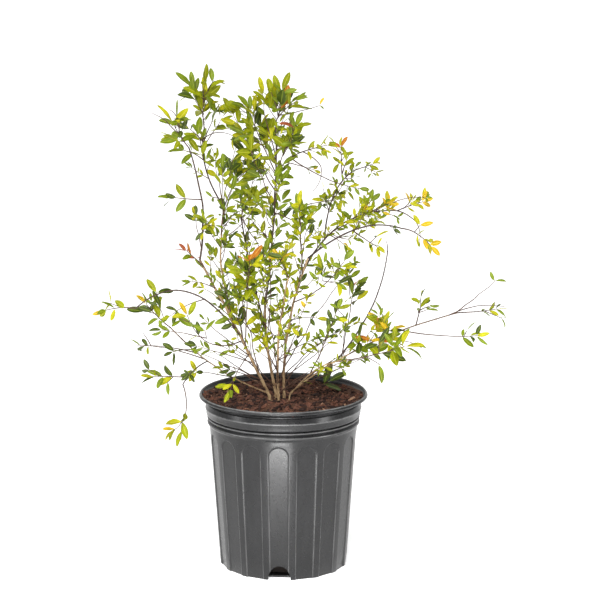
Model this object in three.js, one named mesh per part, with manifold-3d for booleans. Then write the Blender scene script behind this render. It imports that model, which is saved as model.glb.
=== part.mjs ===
// A young pomegranate shrub with many stems, in its black nursery pot.
// Millimetres, +Z up. The origin is the middle of the pot's flat underside, and the front faces -Y.

import * as THREE from 'three';
import { mergeVertices } from 'three/addons/utils/BufferGeometryUtils.js';
import Module from 'manifold-3d';

const wasm = await Module();
wasm.setup();

const GAP = 0.3;
const FULL_TURN = Math.PI * 2;
const radians = THREE.MathUtils.degToRad;

// ---------------------------------------------------------------- driving dimensions

const POT = {
  height: 266,
  footRadius: 96.5,
  shoulderRadius: 111.6,
  shoulderHeight: 217,
  collarRadius: 116.4,
  rimRadius: 127,
  mouthRadius: 118.6,
  wall: 4,
  floor: 3,
  sides: 32,
};

// Flat panels let into the wall all round, with arched tops.
const FLUTE = {
  count: 16,
  firstTurn: -3.5,
  topHeight: 209,
  topHalfWidth: 15.2,
  footHalfWidth: 13.4,
  recess: 2.4,
  cutDepth: 12,
};

// Half-round notches through the foot of the wall, behind every fourth flute.
const DRAIN = {
  count: 4,
  height: 22,
  halfWidth: 17,
  innerRadius: 80,
  cutDepth: 40,
};

const SOIL = {
  height: 254,
  levelRadius: 34,
  edgeDrop: 2.5,
  ripple: 1.2,
  clearance: 0.7,
  clearanceAtCollar: 4.9,
  stepAboveDrain: 5,
};

// Stems stand on the soil by `foot`; other limbs leave the limb `on` at the share `at` of its length.
// `bow` is how far the middle of the limb lies off the straight line between its ends.
const LIMBS = [
  {
    name: 'stem_left', foot: [-21, -5], tip: [-123, -24, 473],
    bow: [3, -1, -2], thick: [2.4, 1.5],
  },
  {
    name: 'stem_center', foot: [-11, 7], tip: [-27, -1, 404],
    bow: [-5, -4, 0], thick: [2.3, 1.5],
  },
  {
    name: 'stem_light', foot: [-7, -9], tip: [8, -30, 448],
    bow: [-7, 2, 0], thick: [1.9, 1],
  },
  {
    name: 'stem_right', foot: [1, 2], tip: [37, 10, 469],
    bow: [-11, -2, 0], thick: [2.1, 1.4],
  },
  {
    name: 'bough_low_right', foot: [10, 9], tip: [259, -20, 392],
    bow: [-18, 2, 8], thick: [1.2, 0.9],
  },
  {
    name: 'bough_front_right', foot: [9, -8], tip: [101, -105, 341],
    bow: [-3, 5, 13], thick: [1, 0.8],
  },
  {
    name: 'bough_low_left', foot: [-22, 9], tip: [-172, 57, 352],
    bow: [-3, 0, -12], thick: [1.1, 0.9],
  },
  {
    name: 'leader_left', on: 'stem_left', at: 1, tip: [-137, -38, 642],
    bow: [11, 1, 0], thick: [1.5, 1],
  },
  {
    name: 'stem_tan', on: 'stem_left', at: 0.56, tip: [-88, 22, 544],
    bow: [-11, 6, 0], thick: [1.5, 1.2],
  },
  {
    name: 'leader_mid', on: 'stem_tan', at: 1, tip: [-119, 74, 652],
    bow: [-14, 0, 2], thick: [1.2, 0.9],
  },
  {
    name: 'leader_center', on: 'stem_center', at: 1, tip: [-11, 14, 672],
    bow: [6, 0, 0], thick: [1.5, 1],
  },
  {
    name: 'stem_dark', on: 'stem_center', at: 0.74, tip: [-65, 100, 519],
    bow: [-4, 0, 3], thick: [1.3, 0.9],
  },
  {
    name: 'bough_low_arch', on: 'stem_right', at: 1, tip: [174, -46, 524],
    bow: [4, 0, 22], thick: [1.4, 0.9],
  },
  {
    name: 'bough_middle', on: 'stem_right', at: 0.9, tip: [171, 50, 534],
    bow: [-12, 2, 26], thick: [1.3, 0.9],
  },
  {
    name: 'bough_upper', on: 'bough_middle', at: 0.3, tip: [108, 100, 588],
    bow: [-9, 2, 13], thick: [1.1, 0.8],
  },
  {
    name: 'bough_top_arch', on: 'leader_center', at: 0.72, tip: [29, -22, 634],
    bow: [-2, 0, 4], thick: [1, 0.8],
  },
  {
    name: 'bough_hanging_left', on: 'bough_low_left', at: 0.6, tip: [-151, -10, 280],
    bow: [0, 0, 6], thick: [0.9, 0.8],
  },
  {
    name: 'bough_arch_left', on: 'stem_left', at: 0.45, tip: [-213, -105, 417],
    bow: [0, -6, 47], thick: [1.3, 0.9],
  },
  {
    name: 'bough_bare_right', on: 'bough_low_right', at: 0.34, tip: [158, 60, 471],
    bow: [13, 0, -5], thick: [1.3, 0.8],
  },
];

// A mass of foliage grows from one stem that runs from its limb to `tip`. The first `bare` share of
// the stem has no leaves. `reach` is how far its twigs go, and `leaf` is the length of a full leaf.
const MASSES = [
  {
    name: 'crown_left', on: 'leader_left', at: 1, tip: [-160, -50, 681],
    twigs: 3, reach: 32, leaf: 31,
  },
  {
    name: 'high_left', on: 'leader_left', at: 0.54, tip: [-160, -45, 570],
    bare: 0.5, twigs: 0, reach: 18, leaf: 25,
  },
  {
    name: 'crown_mid_left', on: 'leader_mid', at: 1, tip: [-120, 80, 708],
    twigs: 6, reach: 42, leaf: 33,
  },
  {
    name: 'crown_back', on: 'stem_tan', at: 1, tip: [-56, 120, 607],
    bare: 0.4, twigs: 4, reach: 40, leaf: 27,
  },
  {
    name: 'top_left', on: 'leader_center', at: 0.72, tip: [-54, 50, 690],
    bare: 0.3, twigs: 5, reach: 36, leaf: 29,
  },
  {
    name: 'top', on: 'leader_center', at: 1, tip: [-3, 16, 692],
    twigs: 4, reach: 38, leaf: 34,
  },
  {
    name: 'top_right', on: 'leader_center', at: 0.72, tip: [19, -44, 676],
    bare: 0.3, twigs: 3, reach: 34, leaf: 29,
  },
  {
    name: 'arch_light', on: 'bough_top_arch', at: 1, tip: [66, -50, 648],
    twigs: 2, reach: 26, leaf: 19,
  },
  {
    name: 'arch_thin', on: 'bough_top_arch', at: 0.6, tip: [117, 60, 566],
    bow: [0, 0, -8], bare: 0.45, twigs: 1, reach: 28, leaf: 17,
  },
  {
    name: 'right_shoot', on: 'bough_upper', at: 0.75, tip: [87, 112, 624],
    bare: 0.3, twigs: 3, reach: 28, leaf: 21,
  },
  {
    name: 'right_upper', on: 'bough_upper', at: 1, tip: [138, 140, 592],
    twigs: 1, reach: 26, leaf: 15,
  },
  {
    name: 'right_dense', on: 'bough_middle', at: 0.4, tip: [152, -18, 556],
    twigs: 5, reach: 34, leaf: 19,
  },
  {
    name: 'right_tip', on: 'bough_middle', at: 1, tip: [212, 58, 547],
    twigs: 2, reach: 25, leaf: 19,
  },
  {
    name: 'arch_tip', on: 'bough_low_arch', at: 1, tip: [216, -78, 503],
    bow: [0, 0, 6], twigs: 2, reach: 25, leaf: 19,
  },
  {
    name: 'arch_under', on: 'bough_low_arch', at: 0.45, tip: [138, -95, 505],
    bare: 0.3, twigs: 1, reach: 30, leaf: 21,
  },
  {
    name: 'centre_right', on: 'stem_right', at: 0.88, tip: [24, -70, 565],
    bow: [0, -6, 0], bare: 0.35, twigs: 4, reach: 34, leaf: 22,
  },
  {
    name: 'centre_high', on: 'leader_center', at: 0.49, tip: [80, 148, 534],
    bow: [0, 0, 6], bare: 0.3, twigs: 2, reach: 36, leaf: 21,
  },
  {
    name: 'centre_back', on: 'stem_dark', at: 1, tip: [-50, 178, 545],
    twigs: 5, reach: 42, leaf: 24,
  },
  {
    name: 'left_small', on: 'leader_left', at: 0.3, tip: [-108, -84, 536],
    bare: 0.3, twigs: 3, reach: 26, leaf: 19,
  },
  {
    name: 'centre_left', on: 'stem_left', at: 0.38, tip: [-46, -148, 498],
    bow: [-3, -12, 8], bare: 0.4, twigs: 5, reach: 46, leaf: 25,
  },
  {
    name: 'centre_yellow', on: 'stem_light', at: 1, tip: [-7, -72, 486],
    twigs: 2, reach: 28, leaf: 21,
  },
  {
    name: 'red_sprig', on: 'stem_left', at: 0.95, tip: [-142, -58, 494],
    bare: 0.3, twigs: 0, reach: 16, leaf: 19,
  },
  {
    name: 'right_fan', on: 'stem_right', at: 0.68, tip: [84, -168, 492],
    bow: [0, -14, 2], bare: 0.45, twigs: 4, reach: 38, leaf: 22,
  },
  {
    name: 'red_shoot', on: 'bough_front_right', at: 0.36, tip: [80, -110, 420],
    bare: 0.4, twigs: 2, reach: 34, leaf: 21,
  },
  {
    name: 'right_back', on: 'bough_low_right', at: 0.38, tip: [110, 165, 397],
    bow: [-4, 4, 0], bare: 0.4, twigs: 3, reach: 44, leaf: 26,
  },
  {
    name: 'right_low', on: 'bough_low_right', at: 0.43, tip: [158, -64, 376],
    bare: 0.04, twigs: 5, reach: 46, leaf: 28,
  },
  {
    name: 'right_low_front', on: 'bough_front_right', at: 1, tip: [176, -164, 374],
    twigs: 3, reach: 40, leaf: 34,
  },
  {
    name: 'right_outer', on: 'bough_low_right', at: 1, tip: [318, -38, 402],
    bare: 0.45, twigs: 1, reach: 44, leaf: 19,
  },
  {
    name: 'right_outer_back', on: 'bough_low_right', at: 0.8, tip: [208, 60, 398],
    bare: 0.3, twigs: 1, reach: 34, leaf: 22,
  },
  {
    name: 'right_outer_low', on: 'bough_low_right', at: 0.73, tip: [286, -80, 371],
    bow: [0, 0, -6], bare: 0.5, twigs: 1, reach: 32, leaf: 21,
  },
  {
    name: 'over_rim_right', on: 'bough_low_right', at: 0.18, tip: [68, 22, 276],
    bow: [-4, 1, -9], bare: 0.6, twigs: 0, reach: 30, leaf: 44,
  },
  {
    name: 'left_low_tip', on: 'bough_low_left', at: 1, tip: [-212, 88, 384],
    twigs: 3, reach: 44, leaf: 25,
  },
  {
    name: 'left_low_mid', on: 'stem_left', at: 0.42, tip: [-142, -58, 400],
    bow: [-6, 0, -22], bare: 0.5, twigs: 2, reach: 34, leaf: 26,
  },
  {
    name: 'left_low_back', on: 'bough_low_left', at: 0.7, tip: [-226, 146, 302],
    bow: [0, 0, 4], bare: 0.6, twigs: 0, reach: 30, leaf: 18,
  },
  {
    name: 'left_low_front', on: 'bough_hanging_left', at: 0.8, tip: [-194, -34, 298],
    twigs: 2, reach: 38, leaf: 25,
  },
  {
    name: 'left_hanging', on: 'bough_hanging_left', at: 1, tip: [-164, -48, 218],
    bow: [14, -8, -4], bare: 0.45, twigs: 1, reach: 30, leaf: 27,
  },
  {
    name: 'over_rim_left', on: 'stem_left', at: 0.32, tip: [-78, -88, 288],
    bow: [0, -8, 6], bare: 0.5, twigs: 1, reach: 24, leaf: 20,
  },
  {
    name: 'arch_left_tip', on: 'bough_arch_left', at: 1, tip: [-258, -118, 416],
    bow: [0, 0, 3], twigs: 1, reach: 26, leaf: 22,
  },
  {
    name: 'sprouts', on: 'stem_center', at: 0.6, tip: [-31, -50, 364],
    bare: 0.3, twigs: 1, reach: 26, leaf: 18,
  },
];

// How every mass grows, in millimetres and degrees. Shares of a leaf are of its length.
const GROWTH = {
  stemThick: 1,
  stemThinning: 0.3,
  stemSteps: 4,
  bare: 0.12,
  lastTwig: 0.92,
  twigThick: 0.8,
  twigLengths: [0.5, 0.85],
  twigLift: 0.2,
  turnPerTwig: 137.5,
  leans: [34, 62],
  stemPairs: 3,
  twigPairs: 1,
  endLeafAt: 0.97,
  twigLeavesFrom: 0.2,
  firstPairInset: 0.3,
  leafPitch: 0.62,
  pairRoll: 0.5,
  leafLengths: [0.72, 1.08],
  leafWidth: 0.38,
  leafWidest: 0.45,
  leafThick: 0.026,
  leafRoom: 0.6,
  margin: 0.9,
  ownShare: 0.95,
  attempts: 4,
};

// Where along a leaf the balls that mark its space lie, and their size as a share of its half width.
const LEAF_BALLS = [[0.45, 1], [0.7, 0.75], [0.95, 0.2]];

const materials = {
  plastic: new THREE.MeshStandardMaterial({ color: 0x3b3c3d, roughness: 0.42, flatShading: true }),
  soil: new THREE.MeshStandardMaterial({ color: 0x4e3227, roughness: 1, flatShading: true }),
  barkTan: new THREE.MeshStandardMaterial({ color: 0x9a7d63, roughness: 0.85, flatShading: true }),
  barkDark: new THREE.MeshStandardMaterial({ color: 0x5f4c42, roughness: 0.85, flatShading: true }),
  leafGreen: new THREE.MeshStandardMaterial({ color: 0x6f9426, roughness: 0.5, flatShading: true }),
};

// ---------------------------------------------------------------- solids and meshes

function toSolid(geometry) {
  geometry.deleteAttribute('normal');
  geometry.deleteAttribute('uv');
  const merged = mergeVertices(geometry, 1e-4);
  return new wasm.Manifold(new wasm.Mesh({
    numProp: 3,
    vertProperties: new Float32Array(merged.attributes.position.array),
    triVerts: new Uint32Array(merged.index.array),
  }));
}

function toMesh(name, solid, material) {
  const made = solid.getMesh();
  const geometry = new THREE.BufferGeometry();
  geometry.setAttribute('position', new THREE.BufferAttribute(made.vertProperties, 3));
  geometry.setIndex(new THREE.BufferAttribute(made.triVerts, 1));
  geometry.computeVertexNormals();
  const mesh = new THREE.Mesh(geometry, material);
  mesh.name = name;
  return mesh;
}

// The largest connected piece, which leaves out loose scraps and the skins of sealed hollows.
function largestPiece(solid) {
  return solid.decompose().reduce((best, piece) => (piece.volume() > best.volume() ? piece : best));
}

// A profile of [radius, height] points turned about the upright axis, with a side square to each flute.
function turned(profile) {
  const points = profile.map(([radius, height]) => new THREE.Vector2(radius, height));
  const halfSide = 180 / POT.sides;
  const geometry = new THREE.LatheGeometry(points, POT.sides).rotateX(Math.PI / 2);
  return geometry.rotateZ(radians(FLUTE.firstTurn + halfSide));
}

// ---------------------------------------------------------------- pot and soil

function bodyRadius(height) {
  const share = height / POT.shoulderHeight;
  return POT.footRadius + (POT.shoulderRadius - POT.footRadius) * share;
}

// An upright panel with an arched top, as deep as `depth`, that stands across the radius at `turn`.
function archedCutter(footHalfWidth, topHalfWidth, top, radiusAtFoot, depth, lean, turn) {
  const shape = new THREE.Shape();
  shape.moveTo(-footHalfWidth, -1);
  shape.lineTo(footHalfWidth, -1);
  shape.lineTo(topHalfWidth, top - topHalfWidth);
  shape.absarc(0, top - topHalfWidth, topHalfWidth, 0, Math.PI, false);
  shape.closePath();
  const geometry = new THREE.ExtrudeGeometry(shape, { depth, bevelEnabled: false, curveSegments: 4 });
  geometry.rotateX(Math.PI / 2);
  geometry.rotateX(lean);
  geometry.translate(0, -radiusAtFoot, 0);
  geometry.rotateZ(radians(turn));
  return toSolid(geometry);
}

function makePot() {
  const { height, wall, floor, collarRadius, rimRadius, mouthRadius } = POT;
  const profile = [
    [0, 0],
    [POT.footRadius - 1, 0],
    [POT.footRadius, 1.2],
    [POT.shoulderRadius, POT.shoulderHeight],
    [collarRadius - 1.6, POT.shoulderHeight + 5],
    [collarRadius - 3, POT.shoulderHeight + 9],
    [collarRadius - 1.4, POT.shoulderHeight + 12.5],
    [collarRadius - 3, POT.shoulderHeight + 15.5],
    [collarRadius, POT.shoulderHeight + 18],
    [collarRadius + 1, POT.shoulderHeight + 27],
    [collarRadius - 1, height - 12],
    [collarRadius + 0.6, height - 9],
    [collarRadius + 0.6, height - 5.6],
    [rimRadius - 1.2, height - 5.2],
    [rimRadius, height - 3.6],
    [rimRadius - 0.6, height - 1.2],
    [rimRadius - 3, height],
    [mouthRadius, height - 1.6],
    [collarRadius - 2.4, height - 9],
    [collarRadius - 4.8, POT.shoulderHeight + 16],
    [bodyRadius(POT.shoulderHeight) - wall, POT.shoulderHeight],
    [bodyRadius(floor) - wall, floor],
    [0, floor],
  ];
  let pot = toSolid(turned(profile));
  const lean = Math.atan((POT.shoulderRadius - POT.footRadius) / POT.shoulderHeight);
  for (let i = 0; i < FLUTE.count; i += 1) {
    const turn = FLUTE.firstTurn + (i * 360) / FLUTE.count;
    const flute = archedCutter(
      FLUTE.footHalfWidth, FLUTE.topHalfWidth, FLUTE.topHeight,
      POT.footRadius - FLUTE.recess, FLUTE.cutDepth, lean, turn,
    );
    pot = pot.subtract(flute);
  }
  for (let i = 0; i < DRAIN.count; i += 1) {
    const turn = FLUTE.firstTurn + (i * 360) / DRAIN.count;
    const notch = archedCutter(
      DRAIN.halfWidth, DRAIN.halfWidth, DRAIN.height, DRAIN.innerRadius, DRAIN.cutDepth, 0, turn,
    );
    pot = pot.subtract(notch);
  }
  return toMesh('pot', pot, materials.plastic);
}

function makeSoil() {
  const insideRadius = (height) => bodyRadius(height) - POT.wall - SOIL.clearance;
  const above = DRAIN.height + SOIL.stepAboveDrain;
  const edge = POT.collarRadius - SOIL.clearanceAtCollar;
  const profile = [
    [0, POT.floor + GAP],
    [DRAIN.innerRadius - 4, POT.floor + GAP],
    [DRAIN.innerRadius - 2, above],
    [insideRadius(above), above + SOIL.stepAboveDrain],
    [insideRadius(POT.shoulderHeight - 3), POT.shoulderHeight - 3],
    [edge - 3, POT.shoulderHeight + 14],
    [edge, SOIL.height - SOIL.edgeDrop],
    [edge * 0.66, SOIL.height - SOIL.edgeDrop * 0.4],
    [SOIL.levelRadius, SOIL.height],
    [0, SOIL.height],
  ];
  const geometry = turned(profile);
  const position = geometry.attributes.position;
  for (let i = 0; i < position.count; i += 1) {
    const radius = Math.hypot(position.getX(i), position.getY(i));
    if (radius > SOIL.levelRadius + 5 && position.getZ(i) > SOIL.height - 3) {
      const turn = Math.atan2(position.getY(i), position.getX(i));
      const ripple = Math.sin(turn * 5 + radius) * Math.cos(turn * 3);
      position.setZ(i, position.getZ(i) + SOIL.ripple * ripple);
    }
  }
  return toMesh('soil', toSolid(geometry), materials.soil);
}

// ---------------------------------------------------------------- limbs

// A repeatable run of numbers from 0 to 1.
function sequence(seed) {
  let state = (seed * 7919 + 104729) % 4294967296;
  return () => {
    state = (state * 1664525 + 1013904223) % 4294967296;
    return state / 4294967296;
  };
}

function between([low, high], share) {
  return low + (high - low) * share;
}

function vector([x, y, z]) {
  return new THREE.Vector3(x, y, z);
}

// A curve whose middle lies `bow` off the straight line between its ends.
function bowed(start, end, bow) {
  const control = start.clone().add(end).multiplyScalar(0.5).addScaledVector(bow, 2);
  return new THREE.QuadraticBezierCurve3(start, control, end);
}

// The two directions across `along`: one level, and one that points up from it.
function acrossAndLift(along) {
  const level = Math.abs(along.z) > 0.98 ? new THREE.Vector3(1, 0, 0) : new THREE.Vector3(0, 0, 1);
  const across = along.clone().cross(level).normalize();
  const lift = across.clone().cross(along).normalize();
  return [across, lift];
}

// A closed tube of changing thickness. `rings` holds the centre and direction of each ring, and a
// pointed tube narrows to its last centre.
function tube(rings, radiusOf, sides, isPointed = false) {
  const steps = rings.length - 1;
  const geometry = isPointed
    ? new THREE.ConeGeometry(1, 1, sides, steps)
    : new THREE.CylinderGeometry(1, 1, 1, sides, steps);
  const frames = [];
  let across = acrossAndLift(rings[0].along)[0];
  for (const ring of rings) {
    across = across.clone().addScaledVector(ring.along, -across.dot(ring.along)).normalize();
    frames.push({ across, beyond: across.clone().cross(ring.along) });
  }
  const position = geometry.attributes.position;
  for (let i = 0; i < position.count; i += 1) {
    const step = Math.round((position.getY(i) + 0.5) * steps);
    const spread = Math.hypot(position.getX(i), position.getZ(i));
    const place = rings[step].centre.clone();
    if (spread > 1e-6) {
      const radius = radiusOf(step / steps, step) / spread;
      place.addScaledVector(frames[step].across, position.getX(i) * radius);
      place.addScaledVector(frames[step].beyond, position.getZ(i) * radius);
    }
    position.setXYZ(i, place.x, place.y, place.z);
  }
  return toSolid(geometry);
}

function ringsAlong(curve, steps) {
  const rings = [];
  for (let i = 0; i <= steps; i += 1) {
    rings.push({ centre: curve.getPoint(i / steps), along: curve.getTangent(i / steps) });
  }
  return rings;
}

const LIMB_SIDES = 6;
const LIMB_STEPS = 6;
const STUB_HEIGHT = 7;
const FLARE = 1.35;

// One limb with its curve, its solid, and the same solid grown by the gap, which cuts its neighbours.
function makeLimb(spec, limbs) {
  const parent = spec.on ? limbs.get(spec.on) : null;
  const ground = SOIL.height + GAP;
  const start = parent
    ? parent.curve.getPoint(spec.at)
    : new THREE.Vector3(spec.foot[0], spec.foot[1], ground + STUB_HEIGHT);
  const curve = bowed(start, vector(spec.tip), vector(spec.bow));
  const thickAt = (share) => between(spec.thick, share);
  const build = (grow) => {
    const rings = ringsAlong(curve, LIMB_STEPS);
    const last = rings[LIMB_STEPS];
    last.centre = last.centre.clone().addScaledVector(last.along, grow);
    if (!parent) {
      rings.unshift({ centre: vector([...spec.foot, ground - grow]), along: new THREE.Vector3(0, 0, 1) });
    }
    const flared = (share, step) => (parent || step > 0 ? thickAt(share) : thickAt(0) * FLARE) + grow;
    return tube(rings, flared, LIMB_SIDES);
  };
  let solid = build(0);
  for (const other of limbs.values()) solid = solid.subtract(other.grown);
  return { name: spec.name, curve, thickAt, solid: largestPiece(solid), grown: build(GAP) };
}

// ---------------------------------------------------------------- foliage

// Balls that mark the space already taken, each with the name of what takes it.
const taken = [];

function take(owner, balls) {
  for (const { centre, radius } of balls) taken.push({ owner, centre, radius });
}

// Whether balls stay clear of the pot and of all that is taken. Pieces of one mass may come closer.
function isClear(owner, balls) {
  return balls.every((ball) => !meetsPot(ball) && !taken.some((other) => {
    const touching = other.radius + ball.radius;
    const apart = other.owner === owner ? touching * GROWTH.ownShare : touching + GROWTH.margin;
    return other.centre.distanceTo(ball.centre) < apart;
  }));
}

// Whether a ball comes too near the pot's rim or the soil.
function meetsPot({ centre, radius }) {
  const nearRim = centre.z < POT.height + radius + GROWTH.margin;
  const nearSoil = centre.z < SOIL.height + radius + 2;
  const fromAxis = Math.hypot(centre.x, centre.y);
  const beside = fromAxis < POT.rimRadius + radius + 2;
  const overWall = fromAxis > POT.mouthRadius - radius - 6;
  return beside && (nearSoil || (nearRim && overWall));
}

function ballsAlong(curve, radius) {
  const count = Math.max(3, Math.ceil(curve.getLength() / 3));
  const balls = [];
  for (let i = 1; i <= count; i += 1) balls.push({ centre: curve.getPoint(i / count), radius });
  return balls;
}

// A leaf as a six-faced blade: flat below, with its middle raised, from a root sunk in its shoot.
function leafSolid({ root, along, across, face, length }) {
  const halfWidth = (length * GROWTH.leafWidth) / 2;
  const thick = length * GROWTH.leafThick;
  const geometry = new THREE.ConeGeometry(1, 1, 3, 1);
  const position = geometry.attributes.position;
  for (let i = 0; i < position.count; i += 1) {
    const [x, y, z] = [position.getX(i), position.getY(i), position.getZ(i)];
    const place = root.clone();
    if (y > 0) {
      place.addScaledVector(along, length);
    } else if (Math.hypot(x, z) > 0.5) {
      place.addScaledVector(along, length * GROWTH.leafWidest);
      place.addScaledVector(across, Math.sign(Math.round(x)) * halfWidth);
      place.addScaledVector(face, z > 0 ? thick : 0);
    }
    position.setXYZ(i, place.x, place.y, place.z);
  }
  return toSolid(geometry);
}

// The outer part of a leaf, which has to be clear of everything else, as balls.
function leafBalls({ root, along, length }) {
  const halfWidth = (length * GROWTH.leafWidth) / 2;
  return LEAF_BALLS.map(([share, part]) => ({
    centre: root.clone().addScaledVector(along, length * share),
    radius: halfWidth * part,
  }));
}

// The place at a share of a shoot's length, on the straight steps that its tube is made of.
function placeOn({ curve, steps }, share) {
  const step = Math.min(Math.floor(share * steps), steps - 1);
  const from = curve.getPoint(step / steps);
  return from.lerp(curve.getPoint((step + 1) / steps), share * steps - step);
}

// One leaf of a shoot. Slot 0 is the leaf at its end, and each two after it are an opposite pair.
function poseLeaf(shoot, slot, fullLength, random) {
  const pair = Math.ceil(slot / 2) - 1;
  const inset = (pair + GROWTH.firstPairInset) * fullLength * GROWTH.leafPitch;
  const share = slot === 0 ? GROWTH.endLeafAt : 1 - inset / shoot.curve.getLength();
  if (share < shoot.from) return null;
  const along = shoot.curve.getTangent(share);
  if (slot > 0) {
    const [across, lift] = acrossAndLift(along);
    const roll = shoot.roll + pair * (Math.PI / 2) + GROWTH.pairRoll * random();
    const lean = radians(between(GROWTH.leans, random()));
    const side = (slot % 2 === 0 ? 1 : -1) * Math.sin(lean);
    along.multiplyScalar(Math.cos(lean));
    along.addScaledVector(across, side * Math.cos(roll)).addScaledVector(lift, side * Math.sin(roll));
    along.normalize();
  }
  // The face turns partly up and to the light from the front.
  const face = new THREE.Vector3(random() - 0.5, random() - 0.9, random() - 0.1);
  face.addScaledVector(along, -face.dot(along)).normalize();
  const length = fullLength * between(GROWTH.leafLengths, random());
  return { root: placeOn(shoot, share), along, across: along.clone().cross(face), face, length };
}

// A straight twig that leaves its stem at a share of its length, towards `turn` round it.
function twigCurve(stem, share, turn, reach, random) {
  const along = stem.curve.getTangent(share);
  const [across, lift] = acrossAndLift(along);
  const lean = radians(between(GROWTH.leans, random()));
  const direction = along.clone().multiplyScalar(Math.cos(lean));
  direction.addScaledVector(across, Math.sin(lean) * Math.cos(turn));
  direction.addScaledVector(lift, Math.sin(lean) * Math.sin(turn));
  direction.z += GROWTH.twigLift;
  const length = reach * between(GROWTH.twigLengths, random());
  const start = placeOn(stem, share);
  return new THREE.LineCurve3(start, start.clone().addScaledVector(direction.normalize(), length));
}

// Everything in one mass: its stem, then each twig and leaf that keeps to the mass's own space.
function growMass(spec, stem, index) {
  const seed = (index + 1) * 1000;
  const random = sequence(seed);
  const bare = spec.bare ?? GROWTH.bare;
  const chord = new THREE.Line3(stem.getPoint(0), stem.getPoint(1));
  const space = spec.reach + spec.leaf * GROWTH.leafRoom;
  const inSpace = (ball) => {
    const nearest = chord.closestPointToPoint(ball.centre, true, new THREE.Vector3());
    return nearest.distanceTo(ball.centre) < space;
  };
  const fits = (balls) => balls.every(inSpace) && isClear(spec.name, balls);
  const stemRadius = (share) => GROWTH.stemThick * (1 - GROWTH.stemThinning * share);
  const twigRadius = () => GROWTH.twigThick;
  const pieces = [tube(ringsAlong(stem, GROWTH.stemSteps), stemRadius, 3)];
  const main = { curve: stem, steps: GROWTH.stemSteps, from: bare, roll: random() * FULL_TURN };
  const shoots = [{ ...main, firstSlot: 0, lastSlot: GROWTH.stemPairs * 2, seed }];
  const firstTurn = random() * FULL_TURN;
  for (let i = 0; i < spec.twigs; i += 1) {
    const place = (i + 0.2 + 0.6 * random()) / spec.twigs;
    const share = between([bare, GROWTH.lastTwig], place);
    const turn = firstTurn + radians(GROWTH.turnPerTwig) * i;
    const curve = twigCurve(main, share, turn, spec.reach, random);
    const roll = random() * FULL_TURN;
    const balls = ballsAlong(curve, GROWTH.twigThick);
    if (!fits(balls.slice(2))) continue;
    take(spec.name, balls);
    pieces.push(tube(ringsAlong(curve, 1), twigRadius, 3, true));
    const twig = { curve, steps: 1, from: GROWTH.twigLeavesFrom, roll };
    shoots.push({ ...twig, firstSlot: 1, lastSlot: GROWTH.twigPairs * 2, seed: seed + 40 * (i + 1) });
  }
  for (const shoot of shoots) {
    for (let slot = shoot.firstSlot; slot <= shoot.lastSlot; slot += 1) {
      const leafRandom = sequence(shoot.seed + slot);
      for (let attempt = 0; attempt < GROWTH.attempts; attempt += 1) {
        const leaf = poseLeaf(shoot, slot, spec.leaf, leafRandom);
        if (!leaf) break;
        const balls = leafBalls(leaf);
        if (!fits(balls)) continue;
        take(spec.name, balls);
        pieces.push(leafSolid(leaf));
        break;
      }
    }
  }
  return wasm.Manifold.union(pieces);
}

// ---------------------------------------------------------------- the whole plant

const plant = new THREE.Group();
plant.add(makePot(), makeSoil());

const limbs = new Map();
for (const spec of LIMBS) {
  const limb = makeLimb(spec, limbs);
  limbs.set(spec.name, limb);
  // The old wood that rises from the soil is tan, and the younger wood above it dark.
  const hasTanBark = spec.foot !== undefined || spec.name === 'stem_tan';
  plant.add(toMesh(limb.name, limb.solid, hasTanBark ? materials.barkTan : materials.barkDark));
  take(limb.name, ballsAlong(limb.curve, limb.thickAt(0)));
}

const stems = MASSES.map((spec) => {
  const start = limbs.get(spec.on).curve.getPoint(spec.at);
  const stem = bowed(start, vector(spec.tip), vector(spec.bow ?? [0, 0, 0]));
  take(spec.name, ballsAlong(stem, GROWTH.stemThick));
  return stem;
});

MASSES.forEach((spec, index) => {
  let solid = growMass(spec, stems[index], index);
  for (const limb of limbs.values()) solid = solid.subtract(limb.grown);
  plant.add(toMesh(`foliage_${spec.name}`, largestPiece(solid), materials.leafGreen));
});

export default plant;
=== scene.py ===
"""A young pomegranate shrub in its black nursery pot: bark, twigs, leaves, moulded pot and bark mix.

Sizes are in millimetres and are turned to metres where a mesh is made. The camera and the lights are
in metres, and so are the textures, apart from those that follow the bark.
"""
import math

import bmesh
import bpy
import numpy as np
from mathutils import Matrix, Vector, noise


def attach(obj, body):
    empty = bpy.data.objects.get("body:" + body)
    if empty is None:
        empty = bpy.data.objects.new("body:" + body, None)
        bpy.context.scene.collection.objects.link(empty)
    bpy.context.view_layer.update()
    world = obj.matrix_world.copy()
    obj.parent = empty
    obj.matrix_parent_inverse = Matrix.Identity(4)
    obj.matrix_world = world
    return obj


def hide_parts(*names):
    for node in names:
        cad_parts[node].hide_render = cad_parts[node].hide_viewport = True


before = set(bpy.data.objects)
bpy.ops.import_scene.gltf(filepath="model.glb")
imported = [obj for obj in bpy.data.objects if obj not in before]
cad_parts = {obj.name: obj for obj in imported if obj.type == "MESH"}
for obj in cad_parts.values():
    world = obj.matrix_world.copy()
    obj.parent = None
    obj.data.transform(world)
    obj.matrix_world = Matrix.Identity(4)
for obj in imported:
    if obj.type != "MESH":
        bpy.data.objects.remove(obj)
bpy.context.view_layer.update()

MM = 0.001
FULL_TURN = math.pi * 2


# ------------------------------------------------------------------ camera

def place_camera():
    bpy.ops.object.camera_add(location=(0.025, -3.37, 1.115), rotation=(math.radians(78.14), 0, 0))
    camera = bpy.context.object
    camera.name = "camera_front"
    camera.data.lens = 138.2
    camera.data.sensor_width = 36
    camera.data.clip_end = 60
    bpy.context.scene.camera = camera


place_camera()


# ------------------------------------------------------------------ small helpers

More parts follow.
